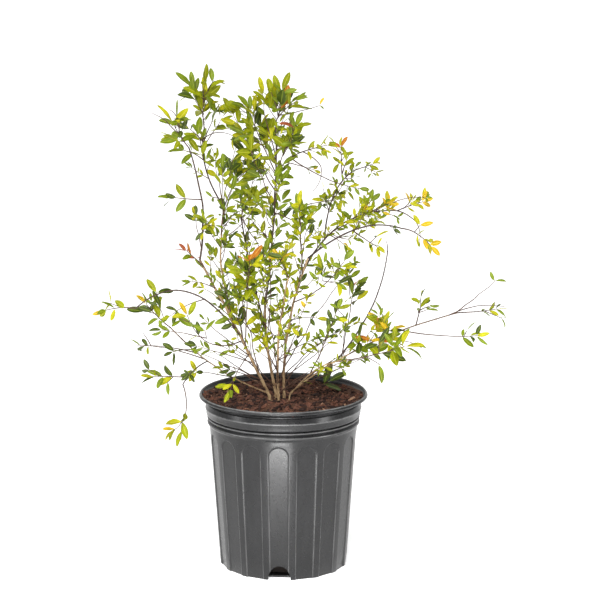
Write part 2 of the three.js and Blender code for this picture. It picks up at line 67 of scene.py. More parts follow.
def hex_to_linear(code):
    """An sRGB hex colour as linear RGBA."""
    parts = [int(code[i:i + 2], 16) / 255 for i in (1, 3, 5)]
    linear = [p / 12.92 if p <= 0.04045 else ((p + 0.055) / 1.055) ** 2.4 for p in parts]
    return (*linear, 1.0)


def add_node(tree, kind, settings=None, **links):
    """Adds a node with its settings and links.

    settings holds its properties, under "inputs" its socket values by name or number, and under
    "stops" a ramp's positions and colours. Each link names an input socket and gives the socket that
    it reads. In the name, underscores stand for spaces, and one before a number marks a socket's place.
    """
    node = tree.nodes.new(kind)
    for key, value in (settings or {}).items():
        if key == "inputs":
            for socket, number in value.items():
                node.inputs[socket].default_value = number
        elif key == "stops":
            ramp = node.color_ramp
            while len(ramp.elements) < len(value):
                ramp.elements.new(0.5)
            for element, (position, color) in zip(ramp.elements, value):
                element.position = position
                element.color = color
        else:
            setattr(node, key, value)
    for socket, source in links.items():
        key = int(socket[1:]) if socket[0] == "_" else socket.replace("_", " ")
        tree.links.new(source, node.inputs[key])
    return node


def new_material(name):
    material = bpy.data.materials.new(name)
    material.use_nodes = True
    material.node_tree.nodes.clear()
    return material, material.node_tree


def finish_material(tree, surface):
    add_node(tree, "ShaderNodeOutputMaterial", None, Surface=surface)


def deselect():
    if bpy.context.object and bpy.context.object.mode == "EDIT":
        bpy.ops.object.mode_set(mode="OBJECT")
    bpy.ops.object.select_all(action="DESELECT")


def only(obj):
    deselect()
    obj.select_set(True)
    bpy.context.view_layer.objects.active = obj


def apply_modifier(obj, kind, name, **settings):
    only(obj)
    modifier = obj.modifiers.new(name, kind)
    for key, value in settings.items():
        setattr(modifier, key, value)
    bpy.ops.object.modifier_apply(modifier=name)


def fix_place(obj):
    """Puts the object's place, turn and scale into its mesh."""
    only(obj)
    bpy.ops.object.transform_apply(location=True, rotation=True, scale=True)


def edit(obj, choose="SELECT", mode="VERT"):
    """Goes into edit mode with everything selected, or nothing."""
    only(obj)
    bpy.ops.object.mode_set(mode="EDIT")
    bpy.ops.mesh.select_mode(type=mode)
    bpy.ops.mesh.select_all(action=choose)


def leave_edit():
    bpy.ops.object.mode_set(mode="OBJECT")


def tidy_mesh(obj, doubles=0.00001):
    edit(obj)
    bpy.ops.mesh.remove_doubles(threshold=doubles)
    bpy.ops.mesh.normals_make_consistent(inside=False)
    leave_edit()


def select_where(obj, rule):
    """Goes into edit mode with only the vertices selected whose place follows the rule, in millimetres."""
    edit(obj, "DESELECT")
    leave_edit()
    for vertex in obj.data.vertices:
        vertex.select = rule(vertex.co / MM)
    bpy.ops.object.mode_set(mode="EDIT")


def draw_out_open_edges(obj):
    """Extrudes the mesh's open edges in place and leaves the new vertices selected."""
    edit(obj, "DESELECT", "EDGE")
    bpy.ops.mesh.select_non_manifold()
    bpy.ops.mesh.extrude_region_move()
    leave_edit()


def close_selected_edges():
    bpy.ops.object.mode_set(mode="EDIT")
    bpy.ops.mesh.edge_face_add()
    bpy.ops.mesh.select_mode(type="VERT")
    leave_edit()


def repeat_round(obj, count):
    """Copies a mesh round the upright axis, within its own object."""
    edit(obj)
    for _ in range(count - 1):
        bpy.ops.mesh.duplicate()
        bpy.ops.transform.rotate(value=FULL_TURN / count, orient_axis="Z", center_override=(0, 0, 0))
    leave_edit()


def settle(obj, name, slot, material, nodes, smooth=30):
    """Names a finished piece and gives it its material, its body and the nodes that it stands for."""
    obj.name = name
    obj.data.name = name
    obj.data.materials.clear()
    obj.data.materials.append(material)
    only(obj)
    if smooth:
        bpy.ops.object.shade_smooth_by_angle(angle=math.radians(smooth))
    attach(obj, "root")
    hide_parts(*nodes)
    deselect()


def mesh_piece(vertices, faces, uvs=None):
    """An object from arrays, in millimetres, with one UV pair for each face corner."""
    mesh = bpy.data.meshes.new("piece")
    mesh.from_pydata((np.asarray(vertices) * MM).tolist(), [], [list(map(int, f)) for f in faces])
    if uvs is not None:
        layer = mesh.uv_layers.new(name="along")
        layer.data.foreach_set("uv", np.asarray(uvs, dtype=np.float32).ravel())
    mesh.update()
    obj = bpy.data.objects.new("piece", mesh)
    bpy.context.collection.objects.link(obj)
    return obj


class Gathered:
    """Many small forms gathered into one mesh, in millimetres."""

    def __init__(self):
        self.vertices, self.faces, self.uvs = [], [], []

    def add_face(self, corners, uvs):
        self.faces.append(tuple(corners))
        self.uvs += uvs

    def piece(self):
        return mesh_piece([tuple(v) for v in self.vertices], self.faces, self.uvs)


def patch_uvs(u0, u1, v0, v1):
    """The UVs of a four-sided face, in the order of its corners."""
    return [(u0, v0), (u1, v0), (u1, v1), (u0, v1)]


# ------------------------------------------------------------------ sizes, shared with the solids

POT = dict(height=266, footRadius=96.5, shoulderRadius=111.6, shoulderHeight=217, rimRadius=127,
           mouthRadius=118.6)
FLUTE = dict(count=16, firstTurn=-3.5, topHeight=209, topHalfWidth=15.2, footHalfWidth=13.4,
             recess=2.4)
HALF_PANEL = math.pi / FLUTE["count"]
DRAIN = dict(count=4, height=22, halfWidth=17, innerRadius=80)
SOIL_HEIGHT = 254
# A stem's foot stands this far over the mix, is this high and flares by this factor.
GAP = 0.3
STUB_HEIGHT = 7
FLARE = 1.35

# name: (foot, or (limb, share along it)), tip, bow, (radius at start, radius at tip)
LIMBS = {
    "stem_left": ((-21, -5), (-123, -24, 473), (3, -1, -2), (2.4, 1.5)),
    "stem_center": ((-11, 7), (-27, -1, 404), (-5, -4, 0), (2.3, 1.5)),
    "stem_light": ((-7, -9), (8, -30, 448), (-7, 2, 0), (1.9, 1)),
    "stem_right": ((1, 2), (37, 10, 469), (-11, -2, 0), (2.1, 1.4)),
    "bough_low_right": ((10, 9), (259, -20, 392), (-18, 2, 8), (1.2, 0.9)),
    "bough_front_right": ((9, -8), (101, -105, 341), (-3, 5, 13), (1, 0.8)),
    "bough_low_left": ((-22, 9), (-172, 57, 352), (-3, 0, -12), (1.1, 0.9)),
    "leader_left": (("stem_left", 1), (-137, -38, 642), (11, 1, 0), (1.5, 1)),
    "stem_tan": (("stem_left", 0.56), (-88, 22, 544), (-11, 6, 0), (1.5, 1.2)),
    "leader_mid": (("stem_tan", 1), (-119, 74, 652), (-14, 0, 2), (1.2, 0.9)),
    "leader_center": (("stem_center", 1), (-11, 14, 672), (6, 0, 0), (1.5, 1)),
    "stem_dark": (("stem_center", 0.74), (-65, 100, 519), (-4, 0, 3), (1.3, 0.9)),
    "bough_low_arch": (("stem_right", 1), (174, -46, 524), (4, 0, 22), (1.4, 0.9)),
    "bough_middle": (("stem_right", 0.9), (171, 50, 534), (-12, 2, 26), (1.3, 0.9)),
    "bough_upper": (("bough_middle", 0.3), (108, 100, 588), (-9, 2, 13), (1.1, 0.8)),
    "bough_top_arch": (("leader_center", 0.72), (29, -22, 634), (-2, 0, 4), (1, 0.8)),
    "bough_hanging_left": (("bough_low_left", 0.6), (-151, -10, 280), (0, 0, 6), (0.9, 0.8)),
    "bough_arch_left": (("stem_left", 0.45), (-213, -105, 417), (0, -6, 47), (1.3, 0.9)),
    "bough_bare_right": (("bough_low_right", 0.34), (158, 60, 471), (13, 0, -5), (1.3, 0.8)),
}

# name: limb, share along it, tip, bow, bare share, twigs, reach, leaf, tint of the spray, tint of its tip
MASSES = {
    "crown_left": ("leader_left", 1, (-160, -50, 681), None, 0.12, 3, 32, 31, "fresh", "lime"),
    "high_left": ("leader_left", 0.54, (-160, -45, 570), None, 0.5, 0, 18, 25, "green", "green"),
    "crown_mid_left": ("leader_mid", 1, (-120, 80, 708), None, 0.12, 6, 42, 33, "fresh", "gold"),
    "crown_back": ("stem_tan", 1, (-56, 120, 607), None, 0.4, 4, 40, 27, "fresh", "gold"),
    "top_left": ("leader_center", 0.72, (-54, 50, 690), None, 0.3, 5, 36, 29, "fresh", "lime"),
    "top": ("leader_center", 1, (-3, 16, 692), None, 0.12, 4, 38, 34, "fresh", "orange"),
    "top_right": ("leader_center", 0.72, (19, -44, 676), None, 0.3, 3, 34, 29, "fresh", "red"),
    "arch_light": ("bough_top_arch", 1, (66, -50, 648), None, 0.12, 2, 26, 19, "lime", "lime"),
    "arch_thin": ("bough_top_arch", 0.6, (117, 60, 566), (0, 0, -8), 0.45, 1, 28, 17, "fresh", "lime"),
    "right_shoot": ("bough_upper", 0.75, (87, 112, 624), None, 0.3, 3, 28, 21, "lime", "orange"),
    "right_upper": ("bough_upper", 1, (138, 140, 592), None, 0.12, 1, 26, 15, "fresh", "lime"),
    "right_dense": ("bough_middle", 0.4, (152, -18, 556), None, 0.12, 5, 34, 19, "lime", "gold"),
    "right_tip": ("bough_middle", 1, (212, 58, 547), None, 0.12, 2, 25, 19, "lime", "gold"),
    "arch_tip": ("bough_low_arch", 1, (216, -78, 503), (0, 0, 6), 0.12, 2, 25, 19, "lime", "gold"),
    "arch_under": ("bough_low_arch", 0.45, (138, -95, 505), None, 0.3, 1, 30, 21, "fresh", "lime"),
    "centre_right": ("stem_right", 0.88, (24, -70, 565), (0, -6, 0), 0.35, 4, 34, 22, "fresh", "lime"),
    "centre_high": ("leader_center", 0.49, (80, 148, 534), (0, 0, 6), 0.3, 2, 36, 21, "fresh", "lime"),
    "centre_back": ("stem_dark", 1, (-50, 178, 545), None, 0.12, 5, 42, 24, "fresh", "green"),
    "left_small": ("leader_left", 0.3, (-108, -84, 536), None, 0.3, 3, 26, 19, "green", "lime"),
    "centre_left": ("stem_left", 0.38, (-46, -148, 498), (-3, -12, 8), 0.4, 5, 46, 25, "fresh", "orange"),
    "centre_yellow": ("stem_light", 1, (-7, -72, 486), None, 0.12, 2, 28, 21, "lime", "gold"),
    "red_sprig": ("stem_left", 0.95, (-142, -58, 494), None, 0.3, 0, 16, 19, "red", "red"),
    "right_fan": ("stem_right", 0.68, (84, -168, 492), (0, -14, 2), 0.45, 4, 38, 22, "fresh", "lime"),
    "red_shoot": ("bough_front_right", 0.36, (80, -110, 420), None, 0.4, 2, 34, 21, "green", "green"),
    "right_back": ("bough_low_right", 0.38, (110, 165, 397), (-4, 4, 0), 0.4, 3, 44, 26, "green", "orange"),
    "right_low": ("bough_low_right", 0.43, (158, -64, 376), None, 0.04, 5, 46, 28, "mixed", "gold"),
    "right_low_front": ("bough_front_right", 1, (176, -164, 374), None, 0.12, 3, 40, 34, "fresh", "lime"),
    "right_outer": ("bough_low_right", 1, (318, -38, 402), None, 0.45, 1, 44, 19, "fresh", "lime"),
    "right_outer_back": ("bough_low_right", 0.8, (208, 60, 398), None, 0.3, 1, 34, 22, "fresh", "lime"),
    "right_outer_low": ("bough_low_right", 0.73, (286, -80, 371), (0, 0, -6), 0.5, 1, 32, 21,
                        "green", "lime"),
    "over_rim_right": ("bough_low_right", 0.18, (68, 22, 276), (-4, 1, -9), 0.6, 0, 30, 44, "deep", "deep"),
    "left_low_tip": ("bough_low_left", 1, (-212, 88, 384), None, 0.12, 3, 44, 25, "green", "gold"),
    "left_low_mid": ("stem_left", 0.42, (-142, -58, 400), (-6, 0, -22), 0.5, 2, 34, 26, "fresh", "gold"),
    "left_low_back": ("bough_low_left", 0.7, (-226, 146, 302), (0, 0, 4), 0.6, 0, 30, 18, "green", "green"),
    "left_low_front": ("bough_hanging_left", 0.8, (-194, -34, 298), None, 0.12, 2, 38, 25, "green", "lime"),
    "left_hanging": ("bough_hanging_left", 1, (-164, -48, 218), (14, -8, -4), 0.45, 1, 30, 27,
                     "lime", "lime"),
    "over_rim_left": ("stem_left", 0.32, (-78, -88, 288), (0, -8, 6), 0.5, 1, 24, 20, "lime", "fresh"),
    "arch_left_tip": ("bough_arch_left", 1, (-258, -118, 416), (0, 0, 3), 0.12, 1, 26, 22, "lime", "gold"),
    "sprouts": ("stem_center", 0.6, (-31, -50, 364), None, 0.3, 1, 26, 18, "lime", "lime"),
}

# Thickness is a radius, and leans and turns are in degrees. Twigs are a share of their mass's reach,
# and a leaf's length, its pitch along the twig and its width are shares of the mass's leaf.
STEM_THICK = 1.0
TWIG_THICK = 0.8
LEANS = (34, 62)
TWIG_LENGTHS = (0.5, 0.85)
LEAF_LENGTHS = (0.72, 1.08)
TURN_PER_TWIG = 137.5
LEAF_PITCH = 0.62
LEAF_WIDTH = 0.38
# What a form keeps clear of its neighbours, of the pot's outside and mix, and of the rim's inside, and
# how near it may come to the rest of its own mass, as a share of the distance at which they touch.
MARGIN = 0.9
POT_ROOM = 2
MOUTH_ROOM = 6
OWN_SHARE = 0.95
# How often a leaf that finds no room is drawn again.
ATTEMPTS = 4
# How far a mass's space goes past its reach, as a share of its leaf.
LEAF_ROOM = 0.6

# Each kind of growth has seeds of its own, a thousand for each mass, limb or shoot, from these on.
SEEDS_OF = {"mass": 0, "finer": 700, "limb spur": 500000, "whip": 800000, "side shoot": 860000,
            "crossing whip": 900000}
# What a shoot or leaf adds to its seed to draw each of its further traits.
TRAIT = {"sag": 77, "blade": 313, "present": 457, "tint": 911}


# ------------------------------------------------------------------ the rule of growth

def sequence(seed):
    """A repeatable run of numbers from 0 to 1."""
    wrap = 2 ** 32
    state = (seed * 7919 + 104729) % wrap

    def draw():
        nonlocal state
        state = (state * 1664525 + 1013904223) % wrap
        return state / wrap
    return draw


def between(ends, share):
    return ends[0] + (ends[1] - ends[0]) * share


class Curve:
    """A curve whose middle lies `bow` off the straight line between its ends."""

    def __init__(self, start, end, bow=(0, 0, 0)):
        self.start, self.end = Vector(start), Vector(end)
        self.control = (self.start + self.end) / 2 + Vector(bow) * 2
        steps = 60
        points = [self.at(i / steps) for i in range(steps + 1)]
        self.length = sum((b - a).length for a, b in zip(points, points[1:]))

    def at(self, share):
        rest = 1 - share
        return self.start * rest * rest + self.control * 2 * rest * share + self.end * share * share

    def along(self, share):
        share = min(max(share, 0), 1)
        step = (self.control - self.start) * (1 - share) + (self.end - self.control) * share
        return step.normalized()


def across_and_lift(along):
    level = Vector((1, 0, 0)) if abs(along.z) > 0.98 else Vector((0, 0, 1))
    across = along.cross(level).normalized()
    return across, across.cross(along).normalized()


class Space:
    """The balls that mark what is taken, and who took it."""

    def __init__(self, most=20000):
        self.centres = np.zeros((most, 3))
        self.radii = np.zeros(most)
        self.owners = np.zeros(most, dtype=int)
        self.count = 0
        self.names = {}

    def take(self, owner, balls):
        number = self.names.setdefault(owner, len(self.names))
        for centre, radius in balls:
            self.centres[self.count] = centre
            self.radii[self.count] = radius
            self.owners[self.count] = number
            self.count += 1

    def is_clear(self, owner, balls, margin=MARGIN, own_share=OWN_SHARE):
        number = self.names.get(owner, -1)
        used = slice(0, self.count)
        for centre, radius in balls:
            if meets_pot(centre, radius):
                return False
            touching = self.radii[used] + radius
            apart = np.where(self.owners[used] == number, touching * own_share, touching + margin)
            distance = np.linalg.norm(self.centres[used] - np.array(centre), axis=1)
            if np.any(distance < apart):
                return False
        return True


def meets_pot(centre, radius):
    near_rim = centre.z < POT["height"] + radius + MARGIN
    near_soil = centre.z < SOIL_HEIGHT + radius + POT_ROOM
    from_axis = math.hypot(centre.x, centre.y)
    beside = from_axis < POT["rimRadius"] + radius + POT_ROOM
    over_wall = from_axis > POT["mouthRadius"] - radius - MOUTH_ROOM
    return beside and (near_soil or (near_rim and over_wall))


def balls_along(curve, radius):
    count = max(3, math.ceil(curve.length / 3))
    return [(curve.at(i / count), radius) for i in range(1, count + 1)]


def leaf_balls(root, along, length):
    half = length * LEAF_WIDTH / 2
    return [(root + along * length * share, half * part)
            for share, part in ((0.45, 1), (0.7, 0.75), (0.95, 0.2))]


def pose_leaf(shoot, slot, full_length, draw):
    """Root, direction, face and length of one leaf. Slot 0 is at the shoot's end, then come pairs."""
    curve = shoot["curve"]
    pair = math.ceil(slot / 2) - 1
    inset = (pair + 0.3) * full_length * LEAF_PITCH
    share = 0.97 if slot == 0 else 1 - inset / curve.length
    if share < shoot["from"]:
        return None
    along = curve.along(share)
    if slot > 0:
        across, lift = across_and_lift(along)
        roll = shoot["roll"] + pair * (math.pi / 2) + 0.5 * draw()
        lean = math.radians(between(LEANS, draw()))
        side = (1 if slot % 2 == 0 else -1) * math.sin(lean)
        along = along * math.cos(lean) + across * side * math.cos(roll) + lift * side * math.sin(roll)
        along.normalize()
    face = Vector((draw() - 0.5, draw() - 0.9, draw() - 0.1))
    face = (face - along * face.dot(along)).normalized()
    length = full_length * between(LEAF_LENGTHS, draw())
    return dict(root=curve.at(share), along=along, face=face, length=length, slot=slot, share=share)


def twig_curve(stem, share, turn, reach, draw, lift_up=0.2):
    along = stem.along(share)
    across, lift = across_and_lift(along)
    lean = math.radians(between(LEANS, draw()))
    direction = along * math.cos(lean)
    direction += across * math.sin(lean) * math.cos(turn) + lift * math.sin(lean) * math.sin(turn)
    direction.z += lift_up
    length = reach * between(TWIG_LENGTHS, draw())
    start = stem.at(share)
    return Curve(start, start + direction.normalized() * length)


def in_space(curve, room, point):
    """Whether a point lies within `room` of the straight line between a stem's ends."""
    chord = curve.end - curve.start
    share = min(max((point - curve.start).dot(chord) / chord.length_squared, 0), 1)
    return (curve.start + chord * share - point).length < room


space = Space()
limb_curves = {}
for limb_name, (origin, tip, bow, thick) in LIMBS.items():
    if isinstance(origin[0], str):
        limb_start = limb_curves[origin[0]].at(origin[1])
    else:
        limb_start = Vector((*origin, SOIL_HEIGHT + GAP + STUB_HEIGHT))
    limb_curves[limb_name] = Curve(limb_start, tip, bow)
    space.take(limb_name, balls_along(limb_curves[limb_name], thick[0]))

mass_stems = {}
for mass_name, (limb, share, tip, bow, *_rest) in MASSES.items():
    mass_stems[mass_name] = Curve(limb_curves[limb].at(share), tip, bow or (0, 0, 0))
    space.take(mass_name, balls_along(mass_stems[mass_name], STEM_THICK))


def seed_of(kind, number):
    return SEEDS_OF[kind] + number * 1000


def new_shoot(kind, curve, bare, roll, seed):
    """A stem, twig, spur or whip. It has no leaves over the share `bare` at its foot."""
    return {"kind": kind, "curve": curve, "from": bare, "roll": roll, "seed": seed}


def room_round(name):
    """The test of whether a point lies in a mass's own space."""
    reach, leaf = MASSES[name][6:8]
    return lambda point: in_space(mass_stems[name], reach + leaf * LEAF_ROOM, point)


def grow_mass(name, number):
    """The shoots and leaves of one mass, grown as its solid is."""
    bare, twigs, reach, leaf = MASSES[name][4:8]
    seed = seed_of("mass", number)
    draw = sequence(seed)
    stem = mass_stems[name]
    in_room = room_round(name)

    def fits(balls):
        return all(in_room(centre) for centre, _ in balls) and space.is_clear(name, balls)

    shoots = [new_shoot("stem", stem, bare, draw() * FULL_TURN, seed)]
    first_turn = draw() * FULL_TURN
    for i in range(twigs):
        place = (i + 0.2 + 0.6 * draw()) / twigs
        share = between((bare, 0.92), place)
        curve = twig_curve(stem, share, first_turn + math.radians(TURN_PER_TWIG) * i, reach, draw)
        roll = draw() * FULL_TURN
        balls = balls_along(curve, TWIG_THICK)
        if not fits(balls[2:]):
            continue
        space.take(name, balls)
        shoots.append(new_shoot("twig", curve, 0.2, roll, seed + 40 * (i + 1)))
    leaves = []
    for shoot in shoots:
        for slot in range(7) if shoot["kind"] == "stem" else range(1, 3):
            draw = sequence(shoot["seed"] + slot)
            for _ in range(ATTEMPTS):
                found = pose_leaf(shoot, slot, leaf, draw)
                if not found:
                    break
                balls = leaf_balls(found["root"], found["along"], found["length"])
                if not fits(balls):
                    continue
                space.take(name, balls)
                found.update(shoot=shoot, mass=name)
                leaves.append(found)
                break
    return shoots, leaves


all_shoots = {}
all_leaves = []
for number, mass_name in enumerate(MASSES, start=1):
    mass_shoots, mass_leaves = grow_mass(mass_name, number)
    all_shoots[mass_name] = mass_shoots
    all_leaves += mass_leaves


# ------------------------------------------------------------------ finer growth

# Finer growth may come closer to the rest. Its spurs stand about this far apart on a stem or twig.
FINE_ROOM = dict(margin=-0.6, own_share=0.42)
SPUR_THICK = 0.5
SPUR_SPACING = {"stem": 14, "twig": 17}

# How full the finer growth makes a mass, where 1 is every leaf that finds room. The rest have 0.
FULLNESS = {
    "crown_left": 0.4, "crown_mid_left": 0.6, "crown_back": 1, "top_left": 1, "top": 1, "top_right": 0.8,
    "arch_light": 0.3, "arch_thin": 0.1, "right_shoot": 0.1, "right_upper": 0.1, "right_dense": 0.9,
    "right_tip": 0.3, "centre_right": 0.6, "centre_high": 0.5, "centre_back": 0.8, "left_small": 0.8,
    "centre_left": 0.9, "centre_yellow": 0.6, "right_fan": 0.4, "red_shoot": 0.3, "right_back": 0.2,
    "right_low": 0.6, "right_low_front": 0.2, "left_low_tip": 0.1, "sprouts": 0.3,
}


def is_open(name, balls):
    """Whether finer growth finds room."""
    return space.is_clear(name, balls, **FINE_ROOM)


def add_leaves(name, shoot, slots, leaf, fullness=1, in_room=None, tries=3):
    """Further leaves of one shoot, in the places that the rule leaves for them."""
    for slot in slots:
        draw = sequence(shoot["seed"] + slot)
        if sequence(shoot["seed"] + slot + TRAIT["present"])() > fullness:
            continue
        for _ in range(tries):
            found = pose_leaf(shoot, slot, leaf, draw)
            if not found:
                break
            balls = leaf_balls(found["root"], found["along"], found["length"])[1:]
            if in_room and not all(in_room(centre) for centre, _ in balls):
                continue
            if not is_open(name, balls):
                continue
            space.take(name, balls)
            found.update(shoot=shoot, mass=name)
            all_leaves.append(found)
            break


def refine_mass(name, number, fullness):
    """Fills a mass's stem and twigs with leaves and gives them short spurs."""
    leaf = MASSES[name][7]
    in_room = room_round(name)
    seed = seed_of("finer", number)
    grown = list(all_shoots[name])
    for shoot in grown:
        slots = range(7, 15) if shoot["kind"] == "stem" else (0, 3, 4, 5, 6)
        add_leaves(name, shoot, slots, leaf, fullness, in_room)
    draw = sequence(seed)
    for base in grown:
        count = int(base["curve"].length / SPUR_SPACING[base["kind"]])
        for i in range(count):
            share = between((max(base["from"], 0.15), 0.9), (i + 0.15 + 0.7 * draw()) / count)
            curve = twig_curve(base["curve"], share, draw() * FULL_TURN, 7 + leaf * 0.42, draw, 0.25)
            roll, size, chance = draw() * FULL_TURN, leaf * between((0.65, 0.95), draw()), draw()
            if chance > fullness or not in_room(curve.end):
                continue
            if not is_open(name, balls_along(curve, SPUR_THICK)[1:]):
                continue
            spur = new_shoot("spur", curve, 0.15, roll, seed + 1 + 20 * len(all_shoots[name]))
            all_shoots[name].append(spur)
            add_leaves(name, spur, (0, 1, 2), size, 1, in_room)


for number, mass_name in enumerate(MASSES, start=1):
    if mass_name in FULLNESS:
        refine_mass(mass_name, number, FULLNESS[mass_name])

# Leafy side shoots that stand along the limbs themselves.
# limb: (first share, last share, spacing, length, leaf, tint)
LIMB_SPURS = {
    "stem_left": (0.6, 0.95, 24, 24, 17, "green"),
    "stem_center": (0.35, 1, 16, 30, 16, "fresh"),
    "leader_center": (0.03, 0.97, 11, 34, 20, "fresh"),
    "stem_light": (0.35, 1, 17, 26, 16, "lime"),
    "stem_right": (0.35, 1, 17, 28, 16, "fresh"),
    "stem_tan": (0.1, 1, 14, 30, 19, "green"),
    "leader_mid": (0.45, 1, 13, 11, 24, "fresh"),
    "stem_dark": (0.1, 1, 15, 28, 18, "green"),
    "bough_low_arch": (0.3, 0.97, 34, 12, 12, "fresh"),
    "bough_middle": (0.2, 0.97, 13, 22, 15, "lime"),
    "bough_upper": (0.15, 0.97, 18, 16, 14, "fresh"),
    "bough_top_arch": (0.2, 0.7, 16, 15, 14, "fresh"),
    "bough_low_right": (0.3, 0.6, 30, 14, 13, "mixed"),
    "bough_front_right": (0.45, 0.97, 24, 15, 14, "green"),
}


def spurs_on_limb(name, number):
    first, last, spacing, length, leaf, _tint = LIMB_SPURS[name]
    curve = limb_curves[name]
    seed = seed_of("limb spur", number)
    draw = sequence(seed)
    count = max(1, int(curve.length * (last - first) / spacing))
    shoots = all_shoots.setdefault(name, [])
    for i in range(count):
        share = between((first, last), (i + 0.1 + 0.8 * draw()) / count)
        turn = math.radians(TURN_PER_TWIG) * i + draw()
        spur_curve = twig_curve(curve, share, turn, length * between((0.6, 1.3), draw()), draw, 0.35)
        roll, size = draw() * FULL_TURN, leaf * between((0.75, 1.15), draw())
        if not is_open(name, balls_along(spur_curve, SPUR_THICK)[1:]):
            continue
        spur = new_shoot("spur", spur_curve, 0.12, roll, seed + 1 + 20 * (i + 1))
        shoots.append(spur)
        add_leaves(name, spur, range(0, 5), size)


for number, limb_name in enumerate(LIMB_SPURS, start=1):
    spurs_on_limb(limb_name, number)

# Long thin whips, almost bare, that arch out of the crown or rise beside the stems.
# name: limb or mass, share along it, tip, bow, pairs of leaves, leaf, tint
WHIPS = {
    "crown_left_low": ("crown_left", 0.35, (-189, -70, 697), (0, 0, 6), 0, 12, "fresh"),
    "crown_left_high": ("crown_left", 0.6, (-167, -25, 697), (5, 0, 5), 0, 12, "fresh"),
    "top_right_thin": ("top", 0.55, (56, 40, 695), (0, 0, -3), 1, 12, "lime"),
    "mid_arch": ("leader_mid", 0.88, (-71, 60, 643), (0, 0, 9), 0, 12, "fresh"),
    "hook": ("bough_top_arch", 1, (43, -20, 574), (20, 0, 4), 0, 10, "fresh"),
    "right_long": ("bough_middle", 0.8, (215, 30, 558), (0, 0, 8), 2, 12, "lime"),
    "drooping": ("bough_middle", 1, (202, 0, 494), (12, 0, 6), 1, 10, "gold"),
    "far_right_up": ("bough_low_right", 0.98, (311, -70, 452), (0, 0, -4), 1, 16, "lime"),
    "far_right": ("bough_low_right", 0.96, (330, -45, 406), (0, 0, 7), 0, 12, "lime"),
    "low_right_front": ("bough_low_right", 0.02, (120, -40, 328), (0, 0, 2), 1, 12, "green"),
    "low_right_middle": ("bough_low_right", 0.05, (104, 30, 327), (-4, 0, 2), 1, 12, "fresh"),
    "low_right_steep": ("stem_right", 0.12, (92, -20, 366), (-6, 0, -3), 2, 13, "fresh"),
    "low_right_back": ("stem_right", 0.06, (80, 70, 343), (-8, 0, 0), 2, 12, "green"),
    "right_rising": ("stem_right", 0.2, (110, 60, 454), (-10, 0, -4), 3, 14, "fresh"),
    "crossing_down": ("leader_center", 0.5, (57, -30, 499), (0, 0, 6), 2, 14, "fresh"),
    "tan_right": ("stem_tan", 0.72, (-37, -10, 556), (2, 0, -5), 3, 15, "fresh"),
    "centre_fine": ("stem_dark", 0.98, (-11, 20, 440), (-4, 0, 4), 2, 13, "green"),
    "upright_fine": ("stem_center", 0.55, (-31, -25, 555), (4, 0, 0), 3, 15, "fresh"),
    "upright_back": ("stem_center", 0.2, (-66, 70, 553), (-8, 0, 0), 3, 15, "green"),
    "left_bare": ("bough_low_left", 0.62, (-230, 100, 315), (0, 0, 4), 0, 12, "green"),
    "left_bare_twig": ("left_low_back", 0.8, (-221, 135, 328), (0, 0, 0), 0, 12, "green"),
    "left_low_whip": ("stem_left", 0.12, (-128, -60, 342), (-4, 0, 4), 1, 14, "green"),
    "left_middle_whip": ("stem_left", 0.3, (-122, 30, 373), (0, 0, -6), 2, 13, "green"),
    "left_upright": ("stem_left", 0.15, (-75, -50, 475), (-6, 0, 0), 3, 14, "green"),
    "centre_upright": ("stem_light", 0.08, (-30, -70, 458), (-4, 0, 0), 3, 14, "fresh"),
    "right_upright": ("stem_light", 0.1, (38, -60, 426), (-6, 0, 0), 3, 14, "lime"),
    "low_right_first": ("stem_light", 0.03, (121, -40, 329), (-3, 0, 7), 1, 13, "green"),
    "low_right_second": ("stem_center", 0.06, (115, 20, 369), (-4, 0, 6), 2, 13, "fresh"),
    "low_right_third": ("stem_light", 0.02, (42, -60, 314), (3, 0, 2), 0, 11, "lime"),
    "low_right_fourth": ("stem_right", 0.03, (28, -70, 306), (2, 0, -3), 0, 11, "green"),
    "low_right_fifth": ("bough_front_right", 0.1, (77, -20, 321), (-3, 0, 3), 0, 12, "fresh"),
    "low_left_first": ("stem_left", 0.03, (-67, -30, 304), (0, 0, 5), 0, 12, "green"),
    "low_left_second": ("stem_center", 0.08, (-52, -50, 350), (-3, 0, 2), 1, 13, "green"),
    "bare_tip": ("bough_bare_right", 0.985, (155, 61, 487), (1.2, 0.8, 0), 0, 9, "green"),
    "left_base_whip": ("stem_center", 0.04, (-106, 60, 313), (-4, 0, 4), 1, 12, "green"),
}

